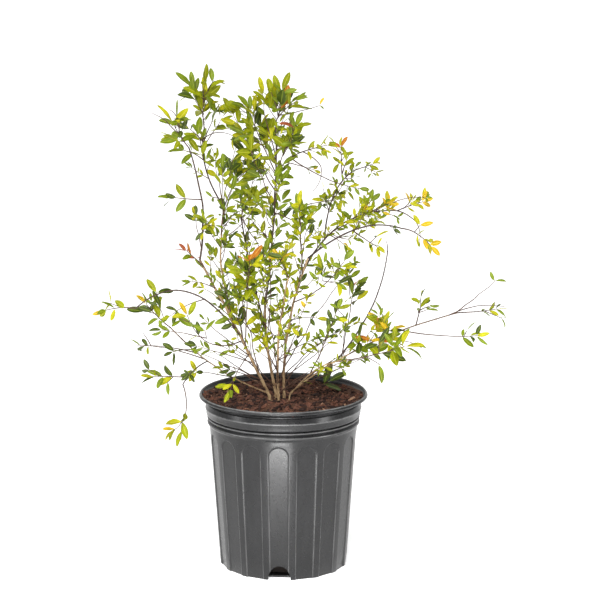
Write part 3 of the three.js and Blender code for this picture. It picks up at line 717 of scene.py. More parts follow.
# Leafy side shoots. name: limb or mass, share along it, tip, pairs of leaves, leaf, tint
SIDE_SHOOTS = {
    "crown_pair_left": ("leader_mid", 0.6, (-151, 30, 629), 2, 24, "green"),
    "crown_inner_left": ("leader_mid", 0.75, (-92, 60, 673), 3, 28, "fresh"),
    "crown_inner_low": ("stem_tan", 1, (-102, 50, 614), 3, 22, "fresh"),
    "crown_inner_back": ("stem_tan", 0.9, (-68, 70, 638), 4, 24, "fresh"),
    "top_inner_left": ("leader_center", 0.62, (-76, 50, 683), 4, 28, "fresh"),
    "top_high": ("leader_center", 0.8, (-31, 30, 716), 3, 27, "lime"),
    "top_front": ("leader_center", 0.55, (-48, -20, 636), 4, 25, "fresh"),
    "middle_left": ("stem_left", 0.55, (-86, -30, 436), 3, 22, "fresh"),
    "middle_low_left": ("stem_left", 0.35, (-72, -20, 396), 3, 20, "green"),
    "middle_back_left": ("stem_center", 0.5, (-93, 30, 401), 3, 20, "fresh"),
    "base_front": ("stem_light", 0.2, (-27, -50, 350), 2, 18, "lime"),
    "base_right": ("stem_right", 0.25, (25, -50, 365), 2, 18, "fresh"),
    "right_high": ("bough_upper", 0.3, (62, 30, 554), 3, 18, "fresh"),
    "arch_fill": ("bough_top_arch", 0.4, (47, 20, 600), 2, 16, "lime"),
    "left_side": ("leader_left", 0.1, (-128, -60, 546), 2, 18, "fresh"),
    "hanging_fill": ("bough_hanging_left", 0.7, (-139, -40, 302), 2, 18, "green"),
    "crown_pair_low": ("leader_mid", 0.85, (-142, 50, 659), 2, 28, "fresh"),
    "crown_pair_right": ("leader_mid", 0.8, (-100, 90, 681), 2, 29, "lime"),
    "crown_gold": ("crown_mid_left", 0.75, (-104, 70, 729), 1, 28, "gold"),
    "top_orange": ("top", 0.5, (-18, 0, 722), 1, 25, "orange"),
    "top_red": ("top", 0.6, (0, -5, 720), 1, 20, "red"),
    "top_right_lime": ("top", 0.3, (21, -10, 708), 3, 25, "lime"),
    "left_mid_leaves": ("left_low_mid", 0.6, (-180, -70, 377), 2, 19, "fresh"),
    "left_low_leaves": ("bough_low_left", 0.75, (-168, 20, 323), 2, 20, "green"),
    "left_under": ("stem_left", 0.25, (-131, -40, 347), 3, 18, "green"),
    "left_inner": ("stem_left", 0.2, (-92, 10, 334), 3, 17, "fresh"),
    "hanging_leaves": ("bough_hanging_left", 0.3, (-143, 50, 278), 2, 20, "green"),
    "right_inner": ("stem_right", 0.3, (52, -20, 354), 3, 17, "fresh"),
    "right_inner_low": ("stem_light", 0.3, (34, -40, 340), 2, 16, "lime"),
    "outer_back_leaves": ("right_outer_back", 0.5, (224, 30, 392), 1, 19, "green"),
    "left_shoulder": ("stem_left", 0.8, (-137, -50, 446), 2, 18, "fresh"),
    "right_shoot_leaves": ("right_shoot", 0.2, (96, 80, 607), 2, 18, "lime"),
    "tan_top_leaves": ("stem_tan", 0.8, (-90, 0, 609), 3, 22, "fresh"),
    "low_right_leaves": ("bough_low_right", 0.62, (203, 10, 336), 1, 18, "green"),
    "top_core": ("leader_center", 0.75, (0, -15, 613), 4, 27, "green"),
    "top_core_back": ("leader_center", 0.85, (13, 40, 628), 3, 27, "fresh"),
    "crown_left_fill": ("leader_mid", 0.7, (-132, 90, 648), 3, 27, "fresh"),
    "crown_gap_fill": ("top_left", 0.4, (-86, 60, 658), 3, 25, "fresh"),
    "upper_core": ("leader_center", 0.45, (-46, 20, 561), 4, 24, "fresh"),
    "upper_left_core": ("stem_tan", 0.75, (-76, 10, 572), 3, 23, "green"),
    "shoot_fill": ("bough_upper", 0.6, (90, 90, 544), 3, 19, "lime"),
    "shoot_high": ("right_shoot", 0.5, (83, 100, 596), 2, 19, "fresh"),
    "centre_fill": ("stem_right", 0.8, (43, 30, 531), 3, 18, "lime"),
    "left_core": ("stem_left", 0.5, (-81, -60, 393), 4, 22, "green"),
    "left_core_low": ("stem_left", 0.4, (-68, 10, 398), 3, 22, "fresh"),
    "centre_core": ("stem_center", 0.75, (-40, -50, 400), 4, 21, "fresh"),
    "mid_left_edge": ("bough_arch_left", 0.35, (-170, -50, 391), 2, 20, "green"),
    "base_left_leaves": ("stem_left", 0.12, (-92, -10, 305), 3, 17, "green"),
    "left_rim_leaves": ("bough_low_left", 0.35, (-134, 20, 292), 2, 18, "fresh"),
    "right_mid_leaves": ("stem_right", 0.55, (52, -20, 384), 2, 17, "fresh"),
    "right_high_leaves": ("bough_middle", 0.35, (92, 20, 487), 3, 17, "lime"),
    "core_high": ("leader_center", 0.2, (-31, -30, 481), 4, 21, "green"),
}


def shoot_to(name, base_name, share, tip, bow, seed, pairs, leaf):
    """A long shoot from a limb or a mass's stem to its tip, with its leaves."""
    base = limb_curves.get(base_name) or mass_stems[base_name]
    whip = new_shoot("whip", Curve(base.at(share), tip, bow), 0.3, seed * 0.0024, seed)
    all_shoots[name] = [whip]
    add_leaves(name, whip, range(0 if pairs > 1 else 1, 1 + 2 * pairs), leaf)


# Thinner whips that cross one another inside the crown: limb: (first share, last share, how many, length)
CROSSING_WHIPS = {
    "stem_center": (0.15, 1, 8, 75), "leader_center": (0.0, 0.95, 13, 70), "stem_light": (0.15, 0.9, 7, 65),
    "stem_right": (0.15, 1, 9, 75), "stem_tan": (0.1, 1, 9, 70), "stem_dark": (0.1, 1, 8, 65),
    "stem_left": (0.2, 0.9, 8, 60), "bough_middle": (0.1, 0.9, 7, 60), "bough_upper": (0.2, 0.9, 4, 50),
    "bough_low_arch": (0.1, 0.5, 3, 55), "bough_low_right": (0.1, 0.5, 6, 70),
    "bough_front_right": (0.2, 0.8, 4, 55), "leader_mid": (0.1, 0.5, 3, 40),
}


def grow_crossing_whips(limb, number):
    first, last, count, length = CROSSING_WHIPS[limb]
    seed = seed_of("crossing whip", number)
    draw = sequence(seed)
    owner = "crossing_" + limb
    all_shoots[owner] = []
    for i in range(count):
        share = between((first, last), (i + draw()) / count)
        straight = twig_curve(limb_curves[limb], share, draw() * FULL_TURN, length, draw, 0.25)
        bow = Vector((draw() - 0.5, draw() - 0.5, draw() - 0.7)) * straight.length * 0.22
        arched = Curve(straight.start, straight.end, bow)
        whip = new_shoot("thin whip", arched, 0.3, draw() * FULL_TURN, seed + 1 + 20 * i)
        all_shoots[owner].append(whip)
        add_leaves(owner, whip, range(0, 7), 13, 0.6)


for number, (name, (base, share, tip, bow, pairs, leaf, _tint)) in enumerate(WHIPS.items(), start=1):
    shoot_to(name, base, share, tip, bow, seed_of("whip", number), pairs, leaf)
for number, (name, (base, share, tip, pairs, leaf, _tint)) in enumerate(SIDE_SHOOTS.items(), start=1):
    shoot_to(name, base, share, tip, (0, 0, 2), seed_of("side shoot", number), pairs, leaf)
for number, limb_name in enumerate(CROSSING_WHIPS, start=1):
    grow_crossing_whips(limb_name, number)


# ------------------------------------------------------------------ sweeping tubes

WANDER_LENGTH = 42


class Tubes(Gathered):
    """Tapering tubes, with a UV map that runs along each of them."""

    def add(self, points, radii, sides):
        """Closed at both ends. UVs are in millimetres, round the tube and then along it.

        A radius is a number, or a list with one for each side.
        """
        points = [Vector(p) for p in points]
        rings = len(points)
        directions = [(points[min(i + 1, rings - 1)] - points[max(i - 1, 0)]).normalized()
                      for i in range(rings)]
        across = across_and_lift(directions[0])[0]
        first = len(self.vertices)
        distance = [0.0]
        for a, b in zip(points, points[1:]):
            distance.append(distance[-1] + (b - a).length)
        for point, direction, radius in zip(points, directions, radii):
            across = (across - direction * across.dot(direction)).normalized()
            beyond = direction.cross(across)
            for side in range(sides):
                turn = FULL_TURN * side / sides
                scale = radius if np.isscalar(radius) else radius[side]
                self.vertices.append(point + (across * math.cos(turn) + beyond * math.sin(turn)) * scale)
        round_mm = FULL_TURN * (radii[0] if np.isscalar(radii[0]) else radii[0][0])
        for ring in range(rings - 1):
            for side in range(sides):
                a = first + ring * sides + side
                b = first + ring * sides + (side + 1) % sides
                uvs = patch_uvs(round_mm * side / sides, round_mm * (side + 1) / sides,
                                distance[ring], distance[ring + 1])
                self.add_face((a, b, b + sides, a + sides), uvs)
        self.add_face(reversed(range(first, first + sides)), [(0, 0)] * sides)
        last = first + (rings - 1) * sides
        self.add_face(range(last, last + sides), [(0, distance[-1])] * sides)


def wander(seed, share, length, amount):
    """The slight sideways wandering of a limb, nothing at its ends."""
    place = Vector((seed * 3.7, share * length / WANDER_LENGTH, 1.3))
    shift = Vector((noise.noise(place), noise.noise(place + Vector((9, 0, 0))),
                    0.4 * noise.noise(place + Vector((0, 0, 9)))))
    return shift * amount * math.sin(math.pi * share)


# ------------------------------------------------------------------ materials

def moulded_polyethylene():
    """Black moulded polyethylene. It gives a soft satin gloss with faint flow marks and dust, and pale
    painted highlights on the rim's crest, the collar's beads and the flutes' edges.
    """
    material, tree = new_material("black_moulded_polyethylene")
    place = add_node(tree, "ShaderNodeTexCoord").outputs["Object"]
    # Flow marks run up the wall, about 12 mm wide.
    upright = add_node(tree, "ShaderNodeMapping", {"inputs": {"Scale": (1, 1, 0.25)}}, Vector=place)
    flow = add_node(tree, "ShaderNodeTexNoise", {"inputs": {"Scale": 80, "Detail": 3, "Roughness": 0.5}},
                    Vector=upright.outputs[0])
    # Dust and handling scuffs are about 3 mm.
    scuffs = add_node(tree, "ShaderNodeTexNoise", {"inputs": {"Scale": 330, "Detail": 4, "Roughness": 0.6}},
                      Vector=place)
    color = add_node(tree, "ShaderNodeValToRGB", {"stops": [
        (0.3, hex_to_linear("#0f0f10")), (0.7, hex_to_linear("#171718"))]}, Fac=flow.outputs["Fac"])
    # The rim's crest and the beads of the collar carry painted highlights: pale lines, each about 2 mm wide,
    # laid on as a rubbed tone.
    low, high = 220, 270
    stops = []
    for height, highlight_level in ((222.7, 0.5), (230, 0.6), (244.7, 0.75), (265.6, 1)):
        stops += [((height - low + off) / (high - low), (share * highlight_level,) * 3 + (1,))
                  for off, share in ((-1.2, 0), (-0.5, 1), (0.5, 1), (1.2, 0))]
    parts = add_node(tree, "ShaderNodeSeparateXYZ", None, _0=place).outputs
    band = add_node(tree, "ShaderNodeMapRange", {"inputs": {
        "From Min": low * MM, "From Max": high * MM}}, Value=parts["Z"])
    painted_ridge_highlights = add_node(tree, "ShaderNodeValToRGB", {"stops": stops}, Fac=band.outputs[0])
    patchy = add_node(tree, "ShaderNodeMapRange", {"inputs": {
        "From Min": 0.35, "From Max": 0.6, "To Min": 0.45, "To Max": 0.9}}, Value=flow.outputs["Fac"])
    # The upright edges of the flutes, 8 degrees off their middles, carry fainter painted highlights,
    # less and less from 186 to 200 mm up, where the arches begin.
    turn = add_node(tree, "ShaderNodeMath", {"operation": "ARCTAN2"}, _0=parts["Y"], _1=parts["X"])
    from_first = add_node(tree, "ShaderNodeMath", {
        "operation": "SUBTRACT", "inputs": {1: math.radians(FLUTE["firstTurn"])}}, _0=turn.outputs[0])
    off_middle = add_node(tree, "ShaderNodeMath", {
        "operation": "PINGPONG", "inputs": {1: HALF_PANEL}}, _0=from_first.outputs[0])
    on_edge = add_node(tree, "ShaderNodeMath", {
        "operation": "COMPARE", "inputs": {1: math.radians(8.15), 2: math.radians(0.4)}},
                       _0=off_middle.outputs[0])
    under_arch = add_node(tree, "ShaderNodeMapRange", {"inputs": {
        "From Min": 0.186, "From Max": 0.2, "To Min": 0.36, "To Max": 0}}, Value=parts["Z"])
    edge = add_node(tree, "ShaderNodeMath", {"operation": "MULTIPLY"},
                    _0=on_edge.outputs[0], _1=under_arch.outputs[0])
    most = add_node(tree, "ShaderNodeMath", {"operation": "MAXIMUM"},
                    _0=painted_ridge_highlights.outputs[0], _1=edge.outputs[0])
    painted_highlight = add_node(tree, "ShaderNodeMath", {"operation": "MULTIPLY"},
                    _0=most.outputs[0], _1=patchy.outputs[0])
    # The pale grey mixed over the plastic's colour here is painted highlight.
    painted_highlight_color = add_node(tree, "ShaderNodeMix", {"data_type": "RGBA", "inputs": {7: hex_to_linear("#6c6c6c")}},
                    _0=painted_highlight.outputs[0], _6=color.outputs[0])
    gloss = add_node(tree, "ShaderNodeMapRange", {"inputs": {
        "From Min": 0.3, "From Max": 0.7, "To Min": 0.25, "To Max": 0.36}}, Value=scuffs.outputs["Fac"])
    bump = add_node(tree, "ShaderNodeBump", {"inputs": {"Strength": 0.12, "Distance": 0.0004}},
                    Height=scuffs.outputs["Fac"])
    shader = add_node(tree, "ShaderNodeBsdfPrincipled", {"inputs": {
        "IOR": 1.51, "Specular IOR Level": 0.36}},
                      Base_Color=painted_highlight_color.outputs[2], Roughness=gloss.outputs[0], Normal=bump.outputs[0])
    finish_material(tree, shader.outputs[0])
    return material


def bark(name, low, high, crack, grain_mm, strength, outward=(1, 1, 1)):
    """Thin young bark with lengthwise cracks. It reads as a dry, dull, streaked skin.

    Its colour turns by `outward` from 90 to 160 mm off the middle of the shrub, where the wood is younger.
    """
    material, tree = new_material(name)
    uv = add_node(tree, "ShaderNodeUVMap", {"uv_map": "along"}).outputs[0]
    # The map is in millimetres, so the streaks are grain_mm wide and nine times as long.
    drawn_out = add_node(tree, "ShaderNodeMapping", {"inputs": {"Scale": (1, 0.11, 1)}}, Vector=uv)
    streaks = add_node(tree, "ShaderNodeTexNoise", {"inputs": {
        "Scale": 1 / grain_mm, "Detail": 4, "Roughness": 0.6}}, Vector=drawn_out.outputs[0])
    # Weathered patches are about 14 mm long.
    patches = add_node(tree, "ShaderNodeTexNoise", {"inputs": {"Scale": 1 / 14, "Detail": 2}}, Vector=uv)
    base = add_node(tree, "ShaderNodeValToRGB", {"stops": [
        (0.28, hex_to_linear(crack)), (0.42, hex_to_linear(low)), (0.66, hex_to_linear(high))]},
        Fac=streaks.outputs["Fac"])
    shade = add_node(tree, "ShaderNodeValToRGB", {"stops": [
        (0.38, (0.4, 0.34, 0.3, 1)), (0.6, (1, 1, 1, 1))]}, Fac=patches.outputs["Fac"])
    shaded = add_node(tree, "ShaderNodeMix", {
        "data_type": "RGBA", "blend_type": "MULTIPLY", "inputs": {0: 0.7}},
                      _6=base.outputs[0], _7=shade.outputs[0])
    place = add_node(tree, "ShaderNodeTexCoord").outputs["Object"]
    level = add_node(tree, "ShaderNodeVectorMath", {
        "operation": "MULTIPLY", "inputs": {1: (1, 1, 0)}}, _0=place)
    reach = add_node(tree, "ShaderNodeVectorMath", {"operation": "LENGTH"}, _0=level.outputs[0])
    youth = add_node(tree, "ShaderNodeMapRange", {"inputs": {
        "From Min": 0.09, "From Max": 0.16, "To Min": 0, "To Max": 1}}, Value=reach.outputs["Value"])
    color = add_node(tree, "ShaderNodeMix", {
        "data_type": "RGBA", "blend_type": "MULTIPLY", "inputs": {7: (*outward, 1)}},
                     _0=youth.outputs[0], _6=shaded.outputs[2])
    bump = add_node(tree, "ShaderNodeBump", {"inputs": {"Strength": strength, "Distance": 0.0005}},
                    Height=streaks.outputs["Fac"])
    shader = add_node(tree, "ShaderNodeBsdfPrincipled", {"inputs": {"Roughness": 0.72, "IOR": 1.45}},
                      Base_Color=color.outputs[2], Normal=bump.outputs[0])
    finish_material(tree, shader.outputs[0])
    return material


def leaf_blade(name, blade, rib, gloss):
    """A thin waxy pomegranate leaf. It has a soft gloss, a paler midrib and lets some light through."""
    material, tree = new_material(name)
    uv = add_node(tree, "ShaderNodeUVMap", {"uv_map": "along"}).outputs[0]
    parts = add_node(tree, "ShaderNodeSeparateXYZ", None, _0=uv)
    # U runs from edge to edge, from 0 to 1, with the midrib in the middle.
    from_rib = add_node(tree, "ShaderNodeMath", {"operation": "SUBTRACT", "inputs": {1: 0.5}},
                        _0=parts.outputs[0])
    distance = add_node(tree, "ShaderNodeMath", {"operation": "ABSOLUTE"}, _0=from_rib.outputs[0])
    rib_line = add_node(tree, "ShaderNodeMapRange", {"inputs": {
        "From Min": 0.015, "From Max": 0.08, "To Min": 1, "To Max": 0}}, Value=distance.outputs[0])
    # The blade's green changes softly over about 15 mm, as veins and young growth do.
    place = add_node(tree, "ShaderNodeTexCoord").outputs["Object"]
    patches = add_node(tree, "ShaderNodeTexNoise", {"inputs": {"Scale": 66, "Detail": 2}}, Vector=place)
    tone = add_node(tree, "ShaderNodeMapRange", {"inputs": {
        "From Min": 0.35, "From Max": 0.65, "To Min": 0.72, "To Max": 1.2}}, Value=patches.outputs["Fac"])
    toned = add_node(tree, "ShaderNodeVectorMath", {"operation": "SCALE", "inputs": {
        0: hex_to_linear(blade)[:3]}}, Scale=tone.outputs[0])
    color = add_node(tree, "ShaderNodeMix", {"data_type": "RGBA", "inputs": {7: hex_to_linear(rib)}},
                     _0=rib_line.outputs[0], _6=toned.outputs[0])
    shader = add_node(tree, "ShaderNodeBsdfPrincipled", {"inputs": {
        "Roughness": 0.45, "IOR": 1.43, "Specular IOR Level": gloss}}, Base_Color=color.outputs[2])
    through = add_node(tree, "ShaderNodeBsdfTranslucent", None, Color=color.outputs[2])
    mix = add_node(tree, "ShaderNodeMixShader", {"inputs": {0: 0.3}},
                   _1=shader.outputs[0], _2=through.outputs[0])
    finish_material(tree, mix.outputs[0])
    return material


def composted_bark(name, dark, light):
    """Moist composted bark. It gives a dark, rough, crumbly ground with no gloss."""
    material, tree = new_material(name)
    place = add_node(tree, "ShaderNodeTexCoord").outputs["Object"]
    # Crumbs are about 2 mm and damp patches about 25 mm.
    crumbs = add_node(tree, "ShaderNodeTexNoise", {"inputs": {"Scale": 480, "Detail": 4, "Roughness": 0.65}},
                      Vector=place)
    patches = add_node(tree, "ShaderNodeTexNoise", {"inputs": {"Scale": 40, "Detail": 2}}, Vector=place)
    damp = add_node(tree, "ShaderNodeMath", {"operation": "MULTIPLY", "inputs": {1: 0.35}},
                    _0=patches.outputs["Fac"])
    mixed = add_node(tree, "ShaderNodeMath", {"operation": "MULTIPLY_ADD", "inputs": {1: 0.65}},
                     _0=crumbs.outputs["Fac"], _2=damp.outputs[0])
    color = add_node(tree, "ShaderNodeValToRGB", {"stops": [
        (0.34, hex_to_linear(dark)), (0.64, hex_to_linear(light))]}, Fac=mixed.outputs[0])
    bump = add_node(tree, "ShaderNodeBump", {"inputs": {"Strength": 0.6, "Distance": 0.0008}},
                    Height=crumbs.outputs["Fac"])
    shader = add_node(tree, "ShaderNodeBsdfPrincipled", {"inputs": {"Roughness": 0.9, "IOR": 1.4}},
                      Base_Color=color.outputs[0], Normal=bump.outputs[0])
    finish_material(tree, shader.outputs[0])
    return material


# ------------------------------------------------------------------ pot

def body_radius(height):
    return between((POT["footRadius"], POT["shoulderRadius"]), height / POT["shoulderHeight"])


PANEL_TOP = 213.5
PANEL_COLUMNS = 12
# The panel is drawn a little below the foot and cut off there. It has further edges over the rounded
# foot and above the drain notches.
PANEL_FOOT = -12
PANEL_EDGES = (1.3, 27)
# How close points have to lie, in metres, to be welded where the panels and the collar meet.
WELD = 0.00004
# The arch springs from this height. It meets the panel's corners at the sixth of its 24 steps.
ARCH_SPRING = FLUTE["topHeight"] - FLUTE["topHalfWidth"]
ARCH_STEPS = 24
ARCH_CORNER = 6
# The flute's rounded edge, from the face of the rib inwards: how far each ring lies inside the one
# before it, and the share of the recess that it has reached. The first ring lies EDGE_ROOM outside.
EDGE_ROOM = 1.2
EDGE_RINGS = [(0.5, 0.03), (0.45, 0.2), (0.45, 0.55), (0.45, 0.87), (0.5, 1), (1, 1)]

# The pot above its panels, as radius and height: round the collar's ribs, over the rolled rim and
# down the inside to the middle of the floor.
COLLAR_PROFILE = [
    (111.36, PANEL_TOP), (111.6, 216.6), (111.8, 217.7), (112.3, 218.6), (113.9, 219.7), (114.8, 221),
    (115, 222.4), (114, 223.9), (112.6, 225.4), (112, 226.1), (112.2, 227), (114.3, 228.3),
    (115.1, 229.4), (115, 230.4), (112.3, 231.6), (112, 232.1), (112.5, 232.7), (115.4, 233.7),
    (116.1, 234.5), (116.5, 236), (116.9, 242.4), (117.5, 243.2), (117.9, 244.5),
    (116.8, 246.1), (116.2, 251.8), (115.7, 252.8), (114.3, 253.6), (114.1, 254.2), (114.5, 254.8),
    (116.4, 255.7), (117.3, 256.8), (117, 258), (115.4, 259.2), (115.4, 259.7), (116.2, 260.1),
    (124.6, 260.3), (126, 260.6), (126.8, 261.3), (127, 262.4), (126.8, 263.2), (125.6, 265.1),
    (124.9, 265.8), (124.2, 266), (123.5, 265.7), (122.9, 264.9), (122.5, 263.5), (122.1, 262.2),
    (121.4, 261.7), (119, 261.5),
    (118.2, 261.4), (115.6, 261.2), (114.9, 260.9), (114.6, 260.2), (114.4, 259), (114, 246),
    (113.4, 237), (110.5, 232), (110, 221), (108.4, 216), (93, 6), (91.4, 3.8), (88, 3), (0, 3),
]


def trapezoid_place(step):
    """Where a step of the arch meets the edge of its panel: up one side, along the top, down the other."""
    from_end = min(step, ARCH_STEPS - step)
    side = 1 if step < ARCH_STEPS / 2 else -1
    if from_end <= ARCH_CORNER:
        height = between((ARCH_SPRING, PANEL_TOP), from_end / ARCH_CORNER)
        return side * body_radius(height) * HALF_PANEL, height
    half = body_radius(PANEL_TOP) * HALF_PANEL
    return half * (1 - 2 * (step - ARCH_CORNER) / PANEL_COLUMNS), PANEL_TOP


def flute_panel():
    """A sixteenth of the body's wall, flat, with its flute let in. Y holds the share of the recess."""
    top_reach = FLUTE["topHalfWidth"] + EDGE_ROOM
    foot_reach = FLUTE["footHalfWidth"] + EDGE_ROOM
    slack = 0.1
    deselect()
    bpy.ops.mesh.primitive_circle_add(vertices=ARCH_STEPS * 2, radius=top_reach * MM,
                                      location=(0, 0, ARCH_SPRING * MM), rotation=(math.pi / 2, 0, 0))
    panel = bpy.context.object
    fix_place(panel)
    # The lower half of the circle goes, and the ends of the arch run down to the foot.
    select_where(panel, lambda place: place.z < ARCH_SPRING - slack)
    bpy.ops.mesh.delete(type="VERT")
    select_where(panel, lambda place: place.z < ARCH_SPRING + slack)
    bpy.ops.mesh.extrude_vertices_move()
    leave_edit()
    for vertex in panel.data.vertices:
        if vertex.select:
            vertex.co.x = math.copysign(foot_reach * MM, vertex.co.x)
            vertex.co.z = PANEL_FOOT * MM
    # The arch's edges are drawn out to the panel's edge.
    edit(panel)
    bpy.ops.mesh.extrude_region_move()
    leave_edit()
    for vertex in panel.data.vertices:
        if vertex.select and vertex.co.z < 0:
            edge = body_radius(PANEL_FOOT) * HALF_PANEL
            vertex.co = Vector((math.copysign(edge, vertex.co.x), 0, PANEL_FOOT)) * MM
        elif vertex.select:
            turn = math.atan2(vertex.co.z / MM - ARCH_SPRING, vertex.co.x / MM)
            x, height = trapezoid_place(round(turn / math.pi * ARCH_STEPS))
            vertex.co = Vector((x, 0, height)) * MM
    # The arch is filled and its face is set in, ring by ring, to the depth of the flute.
    select_where(panel, lambda place: abs(place.x) < foot_reach + slack if place.z < 0 else
                 math.hypot(place.x, place.z - ARCH_SPRING) < top_reach + slack)
    bpy.ops.mesh.edge_face_add()
    reached = 0
    for inset, share in EDGE_RINGS:
        bpy.ops.mesh.inset(thickness=inset * MM, depth=0)
        bpy.ops.transform.translate(value=(0, (share - reached) * MM, 0))
        reached = share
    bpy.ops.mesh.select_all(action="SELECT")
    bpy.ops.mesh.bisect(plane_co=(0, 0, 0), plane_no=(0, 0, -1), clear_outer=True)
    for height in PANEL_EDGES:
        bpy.ops.mesh.select_all(action="SELECT")
        bpy.ops.mesh.bisect(plane_co=(0, 0, height * MM), plane_no=(0, 0, 1))
    leave_edit()
    return panel


def bend_panel(panel, foot_rounding=1.1):
    """Lays the flat panel on the pot's cone. The floor of the flute stays flat, and the foot is rounded."""
    for vertex in panel.data.vertices:
        across, share, height = vertex.co / MM
        radius = body_radius(height)
        turn = across / radius
        spread = radius * (1 - share) + share * (radius - FLUTE["recess"]) / math.cos(turn)
        if height < 0.1:
            spread -= foot_rounding
        vertex.co = Vector((math.sin(turn) * spread, -math.cos(turn) * spread, height)) * MM


def turned_profile(profile, sides):
    """A profile drawn as a line and spun round the upright axis."""
    deselect()
    bpy.ops.mesh.primitive_plane_add(size=0.001, location=(0, 0, 0))
    turned = bpy.context.object
    edit(turned)
    bpy.ops.mesh.merge(type="CENTER")
    place = Vector((profile[0][0] * MM, 0, profile[0][1] * MM))
    bpy.ops.transform.translate(value=place)
    for radius, height in profile[1:]:
        target = Vector((radius * MM, 0, height * MM))
        bpy.ops.mesh.extrude_region_move(TRANSFORM_OT_translate={"value": tuple(target - place)})
        place = target
    bpy.ops.mesh.select_all(action="SELECT")
    bpy.ops.mesh.spin(steps=sides, angle=FULL_TURN, center=(0, 0, 0), axis=(0, 0, 1))
    leave_edit()
    return turned


def close_underside(pot, foot_ring=6):
    """Carries the foot's edge in to the flat underside and closes it."""
    draw_out_open_edges(pot)
    for vertex in pot.data.vertices:
        if vertex.select:
            vertex.co *= (POT["footRadius"] - foot_ring) * MM / vertex.co.length
    close_selected_edges()


def cut_notches(pot, bar_length=40):
    """Cuts each drain notch with a half-round bar that stands out from the axis."""
    deselect()
    bpy.ops.mesh.primitive_cylinder_add(vertices=48, radius=DRAIN["halfWidth"] * MM, depth=bar_length * MM,
                                        location=(0, -(DRAIN["innerRadius"] + bar_length / 2) * MM, 0),
                                        rotation=(math.pi / 2, 0, 0))
    cutter = bpy.context.object
    fix_place(cutter)
    cutter.scale = (1, 1, DRAIN["height"] / DRAIN["halfWidth"])
    fix_place(cutter)
    repeat_round(cutter, DRAIN["count"])
    apply_modifier(pot, "BOOLEAN", "notches", operation="DIFFERENCE", object=cutter, solver="EXACT")
    bpy.data.objects.remove(cutter)


def soften_notches(pot, width, inner_radius=93):
    """Rounds the edge where each notch comes out through the wall."""
    only(pot)
    bpy.ops.object.mode_set(mode="EDIT")
    mesh = bmesh.from_edit_mesh(pot.data)
    for edge in mesh.edges:
        ends = [vertex.co for vertex in edge.verts]
        low = max(place.z for place in ends) < (DRAIN["height"] + 1) * MM
        near_face = min(math.hypot(place.x, place.y) for place in ends) > inner_radius * MM
        off_ground = min(place.z for place in ends) > 1 * MM
        is_sharp = len(edge.link_faces) == 2 and edge.calc_face_angle() > math.radians(55)
        edge.select = low and near_face and off_ground and is_sharp
    mesh.select_flush_mode()
    bmesh.update_edit_mesh(pot.data)
    bpy.ops.mesh.bevel(offset=width * MM, segments=2, affect="EDGES")
    leave_edit()


def build_pot():
    panel = flute_panel()
    bend_panel(panel)
    repeat_round(panel, FLUTE["count"])
    pot = turned_profile(COLLAR_PROFILE, FLUTE["count"] * PANEL_COLUMNS)
    only(pot)
    panel.select_set(True)
    bpy.ops.object.join()
    pot = bpy.context.object
    tidy_mesh(pot, WELD)
    close_underside(pot)
    tidy_mesh(pot, WELD)
    cut_notches(pot)
    soften_notches(pot, 0.8)
    pot.rotation_euler.z = math.radians(FLUTE["firstTurn"])
    fix_place(pot)
    settle(pot, "nursery_pot", "pot_plastic", moulded_polyethylene(), ["pot"], smooth=50)


# ------------------------------------------------------------------ potting mix

SOIL_RADIUS = 120.6
SOIL_STEP = 3
# The mix is heaped over the ledge inside the rim. At the back it lies lower, inside the wall.
HEAPED_EDGE = 262.2
BACK_RADIUS = 114.2
BACK_EDGE = 257.2
# Below its edge, the mix goes down inside the wall by these heights and radii.
SKIRT = [(260.6, 113), (248, 112.6)]
# Radius and height, from the middle of the top down to the middle of the floor.
ROOT_BALL_PROFILE = [(0, 243.5), (112.9, 243.5), (112.2, 238), (109.6, 231), (107.4, 215), (94.6, 34),
                     (72, 30), (69, 26), (67, 3.4), (0, 3.4)]


def smooth_step(low, high, value):
    share = min(max((value - low) / (high - low), 0), 1)
    return share * share * (3 - 2 * share)


def soil_reach(x, y):
    """How far out the mix goes in the direction of a place, in millimetres."""
    return between((SOIL_RADIUS, BACK_RADIUS), smooth_step(0.1, 0.34, y / max(math.hypot(x, y), 0.1)))


def soil_level(x, y):
    """The height of the mix at a place, in millimetres."""
    from_axis = math.hypot(x, y)
    share = min(from_axis / soil_reach(x, y), 1)
    middle = SOIL_HEIGHT - 2.5 + 2.2 * (1 - share * share)
    edge = between((HEAPED_EDGE, BACK_EDGE), smooth_step(0.38, 0.8, y / max(from_axis, 0.1)))
    lumps = 2.4 * noise.noise(Vector((x / 21, y / 21, 0.4))) + 1.5 * noise.noise(Vector((x / 7, y / 7, 3)))
    # A low heap stands at the front, on the right.
    heap = math.exp(-(((x - 80) / 30) ** 2 + ((y + 45) / 26) ** 2)) * 3
    return between((middle, edge), share ** 5) + lumps * (1 - 0.8 * share ** 8) + heap * (1 - share ** 8)


